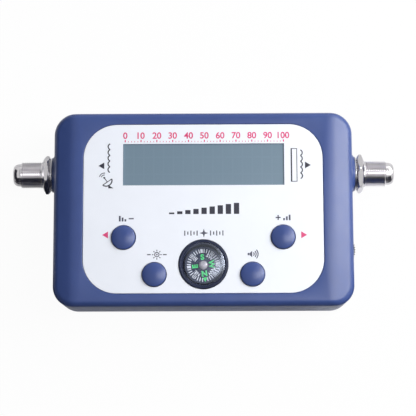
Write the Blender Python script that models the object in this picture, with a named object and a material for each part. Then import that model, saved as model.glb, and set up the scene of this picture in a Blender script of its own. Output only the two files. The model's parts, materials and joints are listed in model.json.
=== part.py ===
"""Hand-held satellite signal meter with a display, four buttons, a compass and two coaxial connectors.

Frame: X runs from the dish connector (-X) to the receiver connector (+X), Y points up the face,
Z points out of the face. The meter lies on its back with Z = 0 under it. All lengths are metres.
"""

import math

import bmesh
import bpy
from mathutils import Vector

# Case
CASE_LENGTH = 0.1080
CASE_WIDTH = 0.0700
CASE_HEIGHT = 0.0270
CORNER_RADIUS = 0.0075
EDGE_ROUND = 0.0022
INNER_ROUND = 0.0010
SIDE_WALL = 0.0020
FRONT_WALL = 0.0022
BACK_WALL = 0.0020
SLOPE_LENGTH = 0.0077
SLOPE_BLEND = 0.0020
SLOPE_ANGLE = math.radians(17)
PARTING_GAP = 0.0003
LIP_WIDTH = 0.0010
LIP_HEIGHT = 0.0015
LIP_ROOT = 0.0025
LIP_ROOT_MARGIN = 0.0002

# Clearances
SEAT_GAP = 0.0002
SIDE_GAP = 0.0003
CUT_OVERRUN = 0.0010
WELD_DISTANCE = 0.000002
POST_COVER_SHARE = 0.25

# Face label
LABEL_END_MARGIN = 0.0112
LABEL_EDGE_MARGIN = 0.00465
LABEL_CORNER_RADIUS = 0.0120
LABEL_THICKNESS = 0.00035
LABEL_RECESS = 0.0006

# Display
WINDOW_X = 0.0002
WINDOW_Y_SHARE = 0.262
WINDOW_END_MARGIN = 0.01395
WINDOW_WIDTH = 0.0149
WINDOW_LABEL_MARGIN = 0.00025
GLASS_OVERLAP_X = 0.0020
GLASS_OVERLAP_Y = 0.0024
GLASS_THICKNESS = 0.0011
CONTACT_LEDGE = 0.0030
POLARIZER_THICKNESS = 0.0003
POLARIZER_MARGIN = 0.0004
LIGHT_GUIDE_MARGIN = 0.0006
HOLDER_WALL = 0.0014
HOLDER_LEDGE = 0.0006
RUBBER_STRIP_GAP = 0.0004
RUBBER_STRIP_MARGIN = 0.0020
BACKLIGHT_LED_LENGTH = 0.0030
BACKLIGHT_LED_WIDTH = 0.0026
BACKLIGHT_LED_HEIGHT = 0.0020
BACKLIGHT_LED_INSET = 0.0030

# Connectors, heights measured outward from the case side wall
CONNECTOR_EDGE_DISTANCE = 0.0205
CONNECTOR_LENGTH = 0.0158
THREAD_RADIUS = 0.00476
THREAD_DEPTH = 0.00045
THREAD_PITCH = 0.00079
THREAD_TURNS = 10
NOSE_RADIUS = 0.0041
NOSE_ROUND = 0.0015
NOSE_LENGTH = 0.0029
FLANGE_RADIUS = 0.0060
FLANGE_THICKNESS = 0.0015
FLANGE_SEAT_DEPTH = 0.0001
REAR_BARREL_RADIUS = 0.0040
REAR_BARREL_LENGTH = 0.0064
BOSS_RADIUS = 0.0065
BOSS_FLARE = 0.0018
BOSS_HEIGHT = 0.0011
INSULATOR_RADIUS = 0.0022
INSULATOR_RECESS = 0.0006
CONTACT_RADIUS = 0.0005
CONTACT_RECESS = 0.0018
CONTACT_TAIL = 0.0048
WASHER_RADIUS = 0.0063
WASHER_THICKNESS = 0.0004
NUT_ACROSS_FLATS = 0.0127
NUT_THICKNESS = 0.0025
NUT_CHAMFER = 0.0004
DISH_NUT_TURN = math.radians(-26)
RECEIVER_NUT_TURN = math.radians(-9)

# Main board
BOARD_THICKNESS = 0.0016
BOARD_EDGE_GAP = 0.0005
BOARD_CORNER_CLEARANCE = 0.0006
BOARD_SCREW_WINDOW_DISTANCE = 0.00915
BOARD_SCREW_EDGE_DISTANCE = 0.0085
BOARD_POST_RADIUS = 0.0026
BOARD_SCREW_RADIUS = 0.0010
BOARD_SCREW_LENGTH = 0.0070
BOARD_SCREW_HEAD_RADIUS = 0.0021
BOARD_SCREW_HEAD_HEIGHT = 0.0013

# Shield can under the board
SHIELD_END_MARGIN = 0.0080
SHIELD_WIDTH = 0.0240
SHIELD_HEIGHT = 0.0090
SHIELD_WALL = 0.0006

# Case screws
CASE_SCREW_INSET = 0.0072
CASE_SCREW_RADIUS = 0.0013
CASE_SCREW_LENGTH = 0.0125
CASE_SCREW_HEAD_RADIUS = 0.0027
CASE_SCREW_HEAD_HEIGHT = 0.0020
CASE_BOSS_RADIUS = 0.00325
CASE_COLUMN_RADIUS = 0.0040
CASE_SCREW_SEAT = 0.00535
SCREW_TIP_GAP = 0.00135
SCREW_SLOT_WIDTH_SHARE = 0.28
SCREW_SLOT_LENGTH_SHARE = 1.2
SCREW_SLOT_DEPTH_SHARE = 0.55

# Buttons
ATTENUATION_BUTTON_END_DISTANCE = 0.0143
ATTENUATION_BUTTON_Y_SHARE = -0.173
LOWER_BUTTON_SPACE = 0.00445
LOWER_BUTTON_DROP = 0.0036
BUTTON_RADIUS = 0.0043
BUTTON_HOLE_GAP = 0.0002
BUTTON_SIDE_HEIGHT = 0.0003
BUTTON_EDGE_ROUND = 0.0005
BUTTON_CROWN = 0.0007
BUTTON_FLANGE_OVERLAP = 0.0010
BUTTON_FLANGE_THICKNESS = 0.0011
BUTTON_STEM_RADIUS = 0.0020
BUTTON_TRAVEL = 0.0004

# Push switches
SWITCH_SIDE = 0.0060
SWITCH_HEIGHT = 0.0035
SWITCH_PLUNGER_RADIUS = 0.00165
SWITCH_PLUNGER_DEPTH = 0.0009
SWITCH_PLUNGER_PROUD = 0.0011

# Compass
COMPASS_X = 0.0
COMPASS_EDGE_GAP = 0.0014
COMPASS_RADIUS = 0.00875
COMPASS_PROUD = 0.00035
WELL_WALL = 0.0010
WELL_FLOOR = 0.0012
WELL_FLOOR_HOLE_RADIUS = 0.0050
CUP_WALL = 0.00145
CUP_FLOOR = 0.0010
CUP_CHAMFER = 0.0003
LENS_SEAT_WIDTH = 0.0006
LENS_SEAT_DEPTH = 0.0010
LENS_CROWN = 0.0011
LENS_THICKNESS = 0.0008
CARD_DEPTH = 0.0036
CARD_SIDE_GAP = 0.0007
CARD_THICKNESS = 0.0004
BEARING_FLANGE_RADIUS = 0.0018
BEARING_FLANGE_THICKNESS = 0.0002
BEARING_CROWN = 0.0006
BEARING_SPIGOT_RADIUS = 0.0012
BEARING_BORE_RADIUS = 0.0006
BEARING_SPIGOT_LENGTH = 0.0016
PIVOT_FOOT_RADIUS = 0.0020
PIVOT_FOOT_HEIGHT = 0.0008
PIVOT_RADIUS = 0.0003
MAGNET_RADIUS = 0.0032
MAGNET_THICKNESS = 0.0009

# Level thumbwheel at the right-hand side
WHEEL_Y_SHARE = -0.2065
WHEEL_RADIUS = 0.0070
WHEEL_PROUD = 0.0008
WHEEL_THICKNESS = 0.0020
WHEEL_TEETH = 50
WHEEL_TOOTH_DEPTH = 0.00035
WHEEL_BORE_GAP = 0.0003
WHEEL_SLOT_GAP = 0.0004
WHEEL_BASE_INSET = 0.0037
WHEEL_BASE_HEIGHT = 0.0022
WHEEL_SHAFT_RADIUS = 0.0012

# Small electronic parts on the board
SOUNDER_END_DISTANCE = 0.0097
SOUNDER_Y_SHARE = 0.007
SOUNDER_RADIUS = 0.0045
SOUNDER_HEIGHT = 0.0055
SOUNDER_HOLE_RADIUS = 0.0010
SOUNDER_HOLE_DEPTH = 0.0015
CHIP_END_DISTANCE = 0.0092
CHIP_Y_SHARE = -0.0215
CHIP_SIDE = 0.0100
CHIP_HEIGHT = 0.0016
CAPACITOR_END_DISTANCE = 0.0072
CAPACITOR_Y_SHARES = (-0.1715, -0.2715)
CAPACITOR_RADIUS = 0.0025
CAPACITOR_HEIGHT = 0.0062
CAPACITOR_ROUND = 0.0004
REGULATOR_Y_SHARE = -0.1715
REGULATOR_LENGTH = 0.0065
REGULATOR_WIDTH = 0.0060
REGULATOR_HEIGHT = 0.0018

# Facet counts
CORNER_STEPS = 4
ROUND_STEPS = 3
INNER_ROUND_STEPS = 1
HEAD_ROUND_STEPS = 2
BIG_CIRCLE = 32
BUTTON_CIRCLE = 24
SMALL_CIRCLE = 16
SCREW_CIRCLE = 12
THREAD_CIRCLE = 16
NUT_CIRCLE = 24
DOME_STEPS = 3
SHARP_ANGLE = math.radians(35)

# Heights and places that follow from the sizes above
HALF_LENGTH = CASE_LENGTH / 2
HALF_WIDTH = CASE_WIDTH / 2
SLOPE_START = HALF_LENGTH - SLOPE_LENGTH
LABEL_LENGTH = CASE_LENGTH - 2 * LABEL_END_MARGIN
LABEL_WIDTH = CASE_WIDTH - 2 * LABEL_EDGE_MARGIN
WINDOW_LENGTH = LABEL_LENGTH - 2 * WINDOW_END_MARGIN
WINDOW_Y = WINDOW_Y_SHARE * LABEL_WIDTH
CONNECTOR_Y = HALF_WIDTH - CONNECTOR_EDGE_DISTANCE
BOARD_END_X = HALF_LENGTH - SIDE_WALL - SIDE_GAP - LIP_WIDTH - BOARD_EDGE_GAP
BOARD_EDGE_Y = HALF_WIDTH - SIDE_WALL - SIDE_GAP - LIP_WIDTH - BOARD_EDGE_GAP
BOARD_SCREW_X = WINDOW_LENGTH / 2 + BOARD_SCREW_WINDOW_DISTANCE
BOARD_SCREW_Y = HALF_WIDTH - BOARD_SCREW_EDGE_DISTANCE
COMPASS_Y = COMPASS_EDGE_GAP + COMPASS_RADIUS - LABEL_WIDTH / 2
ATTENUATION_BUTTON_X = LABEL_LENGTH / 2 - ATTENUATION_BUTTON_END_DISTANCE
ATTENUATION_BUTTON_Y = ATTENUATION_BUTTON_Y_SHARE * LABEL_WIDTH
LOWER_BUTTON_X = COMPASS_RADIUS + LOWER_BUTTON_SPACE + BUTTON_RADIUS
LOWER_BUTTON_Y = COMPASS_Y - LOWER_BUTTON_DROP
PARTING_Z = CASE_HEIGHT / 2
CONNECTOR_Z = PARTING_Z
ROOF_Z = CASE_HEIGHT - FRONT_WALL
RECESS_Z = CASE_HEIGHT - LABEL_RECESS
LABEL_BOTTOM_Z = RECESS_Z + SEAT_GAP
LABEL_TOP_Z = LABEL_BOTTOM_Z + LABEL_THICKNESS
BOARD_BOTTOM_Z = CONNECTOR_Z + CONTACT_RADIUS + SEAT_GAP
BOARD_TOP_Z = BOARD_BOTTOM_Z + BOARD_THICKNESS
ON_BOARD_Z = BOARD_TOP_Z + SEAT_GAP
CASE_SCREW_X = HALF_LENGTH - CASE_SCREW_INSET
CASE_SCREW_Y = HALF_WIDTH - CASE_SCREW_INSET
COUNTERBORE_DEPTH = PARTING_Z - PARTING_GAP / 2 - CASE_SCREW_SEAT
CASE_SCREW_HEAD_Z = COUNTERBORE_DEPTH - SEAT_GAP
BOARD_SCREW_HEAD_Z = BOARD_BOTTOM_Z - SEAT_GAP
WHEEL_X = HALF_LENGTH + WHEEL_PROUD - WHEEL_RADIUS
WHEEL_Y = WHEEL_Y_SHARE * CASE_WIDTH
WHEEL_BOTTOM_Z = ON_BOARD_Z + WHEEL_BASE_HEIGHT + SEAT_GAP
WHEEL_TOP_Z = WHEEL_BOTTOM_Z + WHEEL_THICKNESS

SURFACES = {
    "case_blue": ((0.075, 0.110, 0.270, 1.0), 0.42, 0.0),
    "button_blue": ((0.070, 0.105, 0.250, 1.0), 0.40, 0.0),
    "label_white": ((0.86, 0.88, 0.94, 1.0), 0.45, 0.0),
    "display_grey": ((0.20, 0.24, 0.28, 1.0), 0.35, 0.0),
    "clear_glass": ((0.80, 0.86, 0.84, 1.0), 0.10, 0.0),
    "light_guide": ((0.85, 0.87, 0.86, 1.0), 0.40, 0.0),
    "black_plastic": ((0.015, 0.015, 0.017, 1.0), 0.40, 0.0),
    "card_black": ((0.010, 0.011, 0.012, 1.0), 0.50, 0.0),
    "soft_grey": ((0.20, 0.20, 0.21, 1.0), 0.70, 0.0),
    "nickel": ((0.62, 0.61, 0.59, 1.0), 0.18, 1.0),
    "spring_steel": ((0.45, 0.45, 0.46, 1.0), 0.30, 1.0),
    "brass": ((0.70, 0.52, 0.22, 1.0), 0.28, 1.0),
    "insulator_white": ((0.84, 0.82, 0.76, 1.0), 0.45, 0.0),
    "board_green": ((0.03, 0.17, 0.08, 1.0), 0.40, 0.0),
    "tin_plate": ((0.66, 0.67, 0.69, 1.0), 0.30, 1.0),
    "magnet_dark": ((0.08, 0.08, 0.09, 1.0), 0.45, 0.6),
    "led_white": ((0.88, 0.88, 0.82, 1.0), 0.35, 0.0),
}


def clear_scene():
    for existing in list(bpy.data.objects):
        bpy.data.objects.remove(existing, do_unlink=True)


def surface(name):
    """Material with the colour, roughness and metallic value listed under its name."""
    if name in bpy.data.materials:
        return bpy.data.materials[name]
    colour, roughness, metallic = SURFACES[name]
    made = bpy.data.materials.new(name)
    made.use_nodes = True
    shader = made.node_tree.nodes["Principled BSDF"]
    shader.inputs["Base Color"].default_value = colour
    shader.inputs["Roughness"].default_value = roughness
    shader.inputs["Metallic"].default_value = metallic
    made.diffuse_color = colour
    return made


def mesh_from(shape, name):
    """Turn a bmesh into a mesh with outward faces and smooth round sides."""
    bmesh.ops.recalc_face_normals(shape, faces=shape.faces)
    mesh = bpy.data.meshes.new(name)
    shape.to_mesh(mesh)
    shape.free()
    return mesh


def place(name, mesh, material_name, location=(0, 0, 0), rotation=(0, 0, 0), parent=None):
    """Add one named piece to the scene."""
    if not mesh.materials:
        mesh.materials.append(surface(material_name))
    mesh.shade_smooth()
    mesh.set_sharp_from_angle(angle=SHARP_ANGLE)
    made = bpy.data.objects.new(name, mesh)
    made.location = location
    made.rotation_euler = rotation
    made.parent = parent
    bpy.context.scene.collection.objects.link(made)
    return made


def place_shape(name, shape, material_name, location=(0, 0, 0), parent=None):
    return place(name, mesh_from(shape, name), material_name, location, parent=parent)


def axis_empty(name, location, rotation=(0, 0, 0)):
    """Empty that carries the pieces that share one axis."""
    made = bpy.data.objects.new(name, None)
    made.location = location
    made.rotation_euler = rotation
    bpy.context.scene.collection.objects.link(made)
    return made


def welded(mesh):
    """Join the corners that a Boolean leaves almost on top of each other."""
    shape = bmesh.new()
    shape.from_mesh(mesh)
    bmesh.ops.remove_doubles(shape, verts=shape.verts, dist=WELD_DISTANCE)
    bmesh.ops.dissolve_degenerate(shape, edges=shape.edges, dist=WELD_DISTANCE)
    shape.to_mesh(mesh)
    shape.free()
    return mesh


def after_step(mesh, operation, tool_mesh):
    """Mesh after one exact Boolean with a tool."""
    target = bpy.data.objects.new(mesh.name + "_base", mesh)
    tool = bpy.data.objects.new(mesh.name + "_tool", tool_mesh)
    tool.hide_render = True
    tool.display_type = "WIRE"
    modifier = target.modifiers.new("step", "BOOLEAN")
    modifier.operation = operation
    modifier.solver = "EXACT"
    modifier.object = tool
    for helper in (target, tool):
        bpy.context.scene.collection.objects.link(helper)
    bpy.context.view_layer.update()
    evaluated = target.evaluated_get(bpy.context.evaluated_depsgraph_get())
    result = bpy.data.meshes.new_from_object(evaluated)
    for helper in (target, tool):
        bpy.data.objects.remove(helper, do_unlink=True)
    return welded(result)


def carved(name, base, steps):
    """Mesh of a base shape after a list of (operation, shape) Boolean steps."""
    mesh = mesh_from(base, name)
    for operation, shape in steps:
        mesh = after_step(mesh, operation, mesh_from(shape, name + "_tool"))
    mesh.name = name
    return mesh


def arc_points(centre, radius, start_degrees, end_degrees, steps):
    """Points along an arc in the plane of a profile or an outline."""
    points = []
    for step in range(steps + 1):
        angle = math.radians(start_degrees + (end_degrees - start_degrees) * step / steps)
        points.append((centre[0] + radius * math.cos(angle), centre[1] + radius * math.sin(angle)))
    return points


def turned(profile, segments, ring=False):
    """Solid of revolution about Z from (radius, height) points; a ring's profile closes on itself."""
    shape = bmesh.new()
    rows = []
    for radius, height in profile:
        if radius == 0:
            rows.append([shape.verts.new((0, 0, height))])
            continue
        row = []
        for index in range(segments):
            angle = 2 * math.pi * index / segments
            row.append(shape.verts.new((radius * math.cos(angle), radius * math.sin(angle), height)))
        rows.append(row)
    following = rows[1:] + rows[:1] if ring else rows[1:]
    for row, next_row in zip(rows, following):
        for index in range(segments):
            after = (index + 1) % segments
            corners = [
                row[index % len(row)],
                row[after % len(row)],
                next_row[after % len(next_row)],
                next_row[index % len(next_row)],
            ]
            shape.faces.new(list(dict.fromkeys(corners)))
    return shape


def cylinder(radius, low, high, segments, centre=(0, 0)):
    shape = turned([(0, low), (radius, low), (radius, high), (0, high)], segments)
    bmesh.ops.translate(shape, verts=shape.verts, vec=(centre[0], centre[1], 0))
    return shape


def tube(outer, inner, low, high, segments):
    return turned([(outer, low), (outer, high), (inner, high), (inner, low)], segments, ring=True)


def prism(outline, low, high):
    """Straight prism over a counter-clockwise outline."""
    shape = bmesh.new()
    bottom = [shape.verts.new((x, y, low)) for x, y in outline]
    top = [shape.verts.new((x, y, high)) for x, y in outline]
    shape.faces.new(list(reversed(bottom)))
    shape.faces.new(top)
    for index in range(len(outline)):
        after = (index + 1) % len(outline)
        shape.faces.new((bottom[index], bottom[after], top[after], top[index]))
    return shape


def box(low, high):
    outline = [(low[0], low[1]), (high[0], low[1]), (high[0], high[1]), (low[0], high[1])]
    return prism(outline, low[2], high[2])


def rounded_rectangle(half_x, half_y, radius, steps):
    """Counter-clockwise outline round the origin."""
    points = []
    corners = [(1, 1, 0), (-1, 1, 90), (-1, -1, 180), (1, -1, 270)]
    for side_x, side_y, start in corners:
        centre = (side_x * (half_x - radius), side_y * (half_y - radius))
        points.extend(arc_points(centre, radius, start, start + 90, steps))
    return points


def turned_to_side(shape, side):
    """Turn a shape made along +Z so that it points out of the case side at -X or +X."""
    for vertex in shape.verts:
        x, y, z = vertex.co
        vertex.co = Vector((side * (HALF_LENGTH + z), CONNECTOR_Y + side * x, CONNECTOR_Z + y))
    return shape


def slope_drop(x):
    """How far the front face has fallen at x, with a soft start to each end slope."""
    beyond = abs(x) - (SLOPE_START - SLOPE_BLEND)
    if beyond <= 0:
        return 0.0
    if beyond < 2 * SLOPE_BLEND:
        return math.tan(SLOPE_ANGLE) * beyond * beyond / (4 * SLOPE_BLEND)
    return math.tan(SLOPE_ANGLE) * (beyond - SLOPE_BLEND)


def upper_outline(inset):
    """Case outline above Y = 0, from -X to +X, drawn in by an inset."""
    radius = CORNER_RADIUS - inset
    centre_x = HALF_LENGTH - CORNER_RADIUS
    centre_y = HALF_WIDTH - CORNER_RADIUS
    break_x = min(SLOPE_START - SLOPE_BLEND, centre_x)
    edge_y = HALF_WIDTH - inset
    points = arc_points((-centre_x, centre_y), radius, 180, 90, CORNER_STEPS)
    points.extend([(-break_x, edge_y), (break_x, edge_y)])
    points.extend(arc_points((centre_x, centre_y), radius, 90, 0, CORNER_STEPS))
    return points


def case_outline(inset):
    upper = upper_outline(inset)
    return [(x, -y) for x, y in upper] + list(reversed(upper))


def case_block(rings):
    """Closed block on the case outline through rings of (inset, height function of x)."""
    shape = bmesh.new()
    loops = []
    for inset, height in rings:
        upper = [shape.verts.new((x, y, height(x))) for x, y in upper_outline(inset)]
        lower = [shape.verts.new((x, -y, height(x))) for x, y in upper_outline(inset)]
        loops.append((upper, lower))
    for upper, lower in (loops[0], loops[-1]):
        for index in range(len(upper) - 1):
            shape.faces.new((lower[index], lower[index + 1], upper[index + 1], upper[index]))
    for (upper, lower), (next_upper, next_lower) in zip(loops, loops[1:]):
        ring = lower + list(reversed(upper))
        next_ring = next_lower + list(reversed(next_upper))
        for index in range(len(ring)):
            after = (index + 1) % len(ring)
            shape.faces.new((ring[index], ring[after], next_ring[after], next_ring[index]))
    return shape


def rounding(radius, steps):
    """(inset, drop) steps from a straight side to the face it rounds into."""
    return [(radius - x, radius - y) for x, y in arc_points((0, 0), radius, 0, 90, steps)]


def rounded_case_block(wall, front, back, edge, steps):
    """The case form drawn in by its wall thicknesses, with rounded front and back edges."""
    rings = []
    for inset, drop in reversed(rounding(edge, steps)):
        rings.append((wall + inset, lambda x, drop=drop: back + drop))
    for inset, drop in rounding(edge, steps):
        rings.append((wall + inset, lambda x, drop=drop: CASE_HEIGHT - front - drop - slope_drop(x)))
    return case_block(rings)


def case_form():
    return rounded_case_block(0.0, 0.0, 0.0, EDGE_ROUND, ROUND_STEPS)


def case_hollow():
    return rounded_case_block(SIDE_WALL, FRONT_WALL, BACK_WALL, INNER_ROUND, INNER_ROUND_STEPS)


def connector_boss(side):
    """Shallow cone on the case side that the connector's washer seats on."""
    foot = BOSS_RADIUS + BOSS_FLARE
    root = -SIDE_WALL / 2
    profile = [(0, root), (foot, root), (foot, 0), (BOSS_RADIUS, BOSS_HEIGHT), (0, BOSS_HEIGHT)]
    return turned_to_side(turned(profile, SMALL_CIRCLE), side)


def connector_hole(side):
    inner = -SIDE_WALL - CUT_OVERRUN
    outer = BOSS_HEIGHT + CUT_OVERRUN
    return turned_to_side(cylinder(THREAD_RADIUS + SIDE_GAP, inner, outer, SMALL_CIRCLE), side)


def flange_seat(side):
    """Flat seat inside the case wall, cleared for the connector's flange."""
    radius = FLANGE_RADIUS + 2 * SIDE_GAP
    depth = SIDE_WALL + FLANGE_THICKNESS + SIDE_GAP + CUT_OVERRUN
    return turned_to_side(cylinder(radius, -depth, FLANGE_SEAT_DEPTH - SIDE_WALL, SMALL_CIRCLE), side)


def hollow_steps():
    """Steps that both shells start with: the connectors' bosses and the hollow."""
    return [("UNION", connector_boss(-1)), ("UNION", connector_boss(1)), ("DIFFERENCE", case_hollow())]


def connector_steps():
    steps = []
    for side in (-1, 1):
        steps.append(("DIFFERENCE", connector_hole(side)))
        steps.append(("DIFFERENCE", flange_seat(side)))
    return steps


def side_of_parting(low, high):
    """Step that keeps what lies between two heights."""
    reach_x = HALF_LENGTH + BOSS_HEIGHT + CUT_OVERRUN
    reach_y = HALF_WIDTH + CUT_OVERRUN
    return ("INTERSECT", box((-reach_x, -reach_y, low), (reach_x, reach_y, high)))


def four_corners(x, y):
    return [(-x, y), (x, y), (-x, -y), (x, -y)]


def button_places():
    return {
        "attenuation_down": (-ATTENUATION_BUTTON_X, ATTENUATION_BUTTON_Y),
        "attenuation_up": (ATTENUATION_BUTTON_X, ATTENUATION_BUTTON_Y),
        "light": (-LOWER_BUTTON_X, LOWER_BUTTON_Y),
        "buzzer": (LOWER_BUTTON_X, LOWER_BUTTON_Y),
    }


def post_top(x, radius):
    """Height inside the front wall where a post with this centre and radius ends."""
    return CASE_HEIGHT - POST_COVER_SHARE * FRONT_WALL - slope_drop(abs(x) + radius)


def front_shell():
    bottom = PARTING_Z + PARTING_GAP / 2
    steps = hollow_steps()
    pilot = CASE_SCREW_RADIUS + SIDE_GAP
    pilot_top = CASE_SCREW_HEAD_Z + CASE_SCREW_LENGTH + SCREW_TIP_GAP
    low = bottom - CUT_OVERRUN
    for centre in four_corners(CASE_SCREW_X, CASE_SCREW_Y):
        top = post_top(centre[0], CASE_BOSS_RADIUS)
        steps.append(("UNION", cylinder(CASE_BOSS_RADIUS, low, top, SMALL_CIRCLE, centre)))
        steps.append(("DIFFERENCE", cylinder(pilot, low - CUT_OVERRUN, pilot_top, SCREW_CIRCLE, centre)))
    steps.append(side_of_parting(bottom, CASE_HEIGHT + CUT_OVERRUN))
    pilot = BOARD_SCREW_RADIUS + SIDE_GAP
    pilot_top = BOARD_SCREW_HEAD_Z + BOARD_SCREW_LENGTH + SCREW_TIP_GAP
    low = BOARD_TOP_Z + SIDE_GAP
    for centre in four_corners(BOARD_SCREW_X, BOARD_SCREW_Y):
        top = post_top(centre[0], BOARD_POST_RADIUS)
        steps.append(("UNION", cylinder(BOARD_POST_RADIUS, low, top, SCREW_CIRCLE, centre)))
        steps.append(("DIFFERENCE", cylinder(pilot, low - CUT_OVERRUN, pilot_top, SCREW_CIRCLE, centre)))
    steps.extend(compass_well_steps())
    steps.append(("DIFFERENCE", label_recess()))
    steps.append(("DIFFERENCE", window_cut(0.0)))
    for centre in button_places().values():
        steps.append(("DIFFERENCE", button_hole(centre)))
    steps.append(("DIFFERENCE", wheel_slot()))
    steps.extend(connector_steps())
    place("front_shell", carved("front_shell", case_form(), steps), "case_blue")


def back_shell():
    top = PARTING_Z - PARTING_GAP / 2
    above = top + CUT_OVERRUN
    outer = SIDE_WALL + SIDE_GAP
    inner = outer + LIP_WIDTH
    corners = four_corners(CASE_SCREW_X, CASE_SCREW_Y)
    steps = hollow_steps()
    steps.append(("UNION", lip_ring(SIDE_WALL / 2, inner + LIP_ROOT_MARGIN, top - LIP_ROOT, above)))
    for centre in corners:
        steps.append(("UNION", cylinder(CASE_COLUMN_RADIUS, BACK_WALL / 2, above, SMALL_CIRCLE, centre)))
    steps.append(side_of_parting(-CUT_OVERRUN, top))
    lip_top = PARTING_Z + LIP_HEIGHT
    steps.append(("UNION", lip_ring(outer, inner, top - LIP_ROOT / 2, lip_top)))
    bore = CASE_SCREW_HEAD_RADIUS + SIDE_GAP
    hole = CASE_SCREW_RADIUS + SIDE_GAP
    relief = CASE_BOSS_RADIUS + SIDE_GAP
    relief_top = lip_top + CUT_OVERRUN
    for centre in corners:
        steps.append(("DIFFERENCE", cylinder(bore, -CUT_OVERRUN, COUNTERBORE_DEPTH, SMALL_CIRCLE, centre)))
        steps.append(("DIFFERENCE", cylinder(hole, -CUT_OVERRUN, above, SCREW_CIRCLE, centre)))
        steps.append(("DIFFERENCE", cylinder(relief, PARTING_Z, relief_top, SMALL_CIRCLE, centre)))
    steps.extend(connector_steps())
    place("back_shell", carved("back_shell", case_form(), steps), "case_blue")


def lip_ring(outer_inset, inner_inset, low, high):
    """Rectangular ring that follows the case wall."""
    shape = bmesh.new()
    loops = []
    for inset, height in ((outer_inset, low), (outer_inset, high), (inner_inset, high), (inner_inset, low)):
        loops.append([shape.verts.new((x, y, height)) for x, y in case_outline(inset)])
    for loop, next_loop in zip(loops, loops[1:] + loops[:1]):
        for index in range(len(loop)):
            after = (index + 1) % len(loop)
            shape.faces.new((loop[index], loop[after], next_loop[after], next_loop[index]))
    return shape


def label_recess():
    half_x = LABEL_LENGTH / 2 + SIDE_GAP
    half_y = LABEL_WIDTH / 2 + SIDE_GAP
    outline = rounded_rectangle(half_x, half_y, LABEL_CORNER_RADIUS + SIDE_GAP, CORNER_STEPS)
    return prism(outline, RECESS_Z, CASE_HEIGHT + CUT_OVERRUN)


def window_cut(margin):
    half_x = WINDOW_LENGTH / 2 + margin
    half_y = WINDOW_WIDTH / 2 + margin
    low = (WINDOW_X - half_x, WINDOW_Y - half_y, ROOF_Z - CUT_OVERRUN)
    high = (WINDOW_X + half_x, WINDOW_Y + half_y, CASE_HEIGHT + CUT_OVERRUN)
    return box(low, high)


def button_hole(centre):
    radius = BUTTON_RADIUS + BUTTON_HOLE_GAP
    return cylinder(radius, ROOF_Z - CUT_OVERRUN, CASE_HEIGHT + CUT_OVERRUN, BUTTON_CIRCLE, centre)


def compass_well_steps():
    """Round well under the face that holds the compass."""
    centre = (COMPASS_X, COMPASS_Y)
    inner = COMPASS_RADIUS + SIDE_GAP
    low = BOARD_TOP_Z + SIDE_GAP
    wall_top = CASE_HEIGHT - FRONT_WALL / 2
    top = CASE_HEIGHT + CUT_OVERRUN
    return [
        ("UNION", cylinder(inner + WELL_WALL, low, wall_top, BIG_CIRCLE, centre)),
        ("DIFFERENCE", cylinder(inner, low + WELL_FLOOR, top, BIG_CIRCLE, centre)),
        ("DIFFERENCE", cylinder(WELL_FLOOR_HOLE_RADIUS, low - CUT_OVERRUN, top, SMALL_CIRCLE, centre)),
    ]


def wheel_slot():
    radius = WHEEL_RADIUS + WHEEL_SLOT_GAP
    low = WHEEL_BOTTOM_Z - SIDE_GAP
    high = WHEEL_TOP_Z + SIDE_GAP
    return cylinder(radius, low, high, BIG_CIRCLE, (WHEEL_X, WHEEL_Y))


def face_label():
    outline = rounded_rectangle(LABEL_LENGTH / 2, LABEL_WIDTH / 2, LABEL_CORNER_RADIUS, CORNER_STEPS)
    steps = [("DIFFERENCE", window_cut(WINDOW_LABEL_MARGIN))]
    for centre in button_places().values():
        steps.append(("DIFFERENCE", button_hole(centre)))
    low = LABEL_BOTTOM_Z - CUT_OVERRUN
    high = LABEL_TOP_Z + CUT_OVERRUN
    hole = cylinder(COMPASS_RADIUS + SIDE_GAP, low, high, BIG_CIRCLE, (COMPASS_X, COMPASS_Y))
    steps.append(("DIFFERENCE", hole))
    base = prism(outline, LABEL_BOTTOM_Z, LABEL_TOP_Z)
    place("face_label", carved("face_label", base, steps), "label_white")


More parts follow.
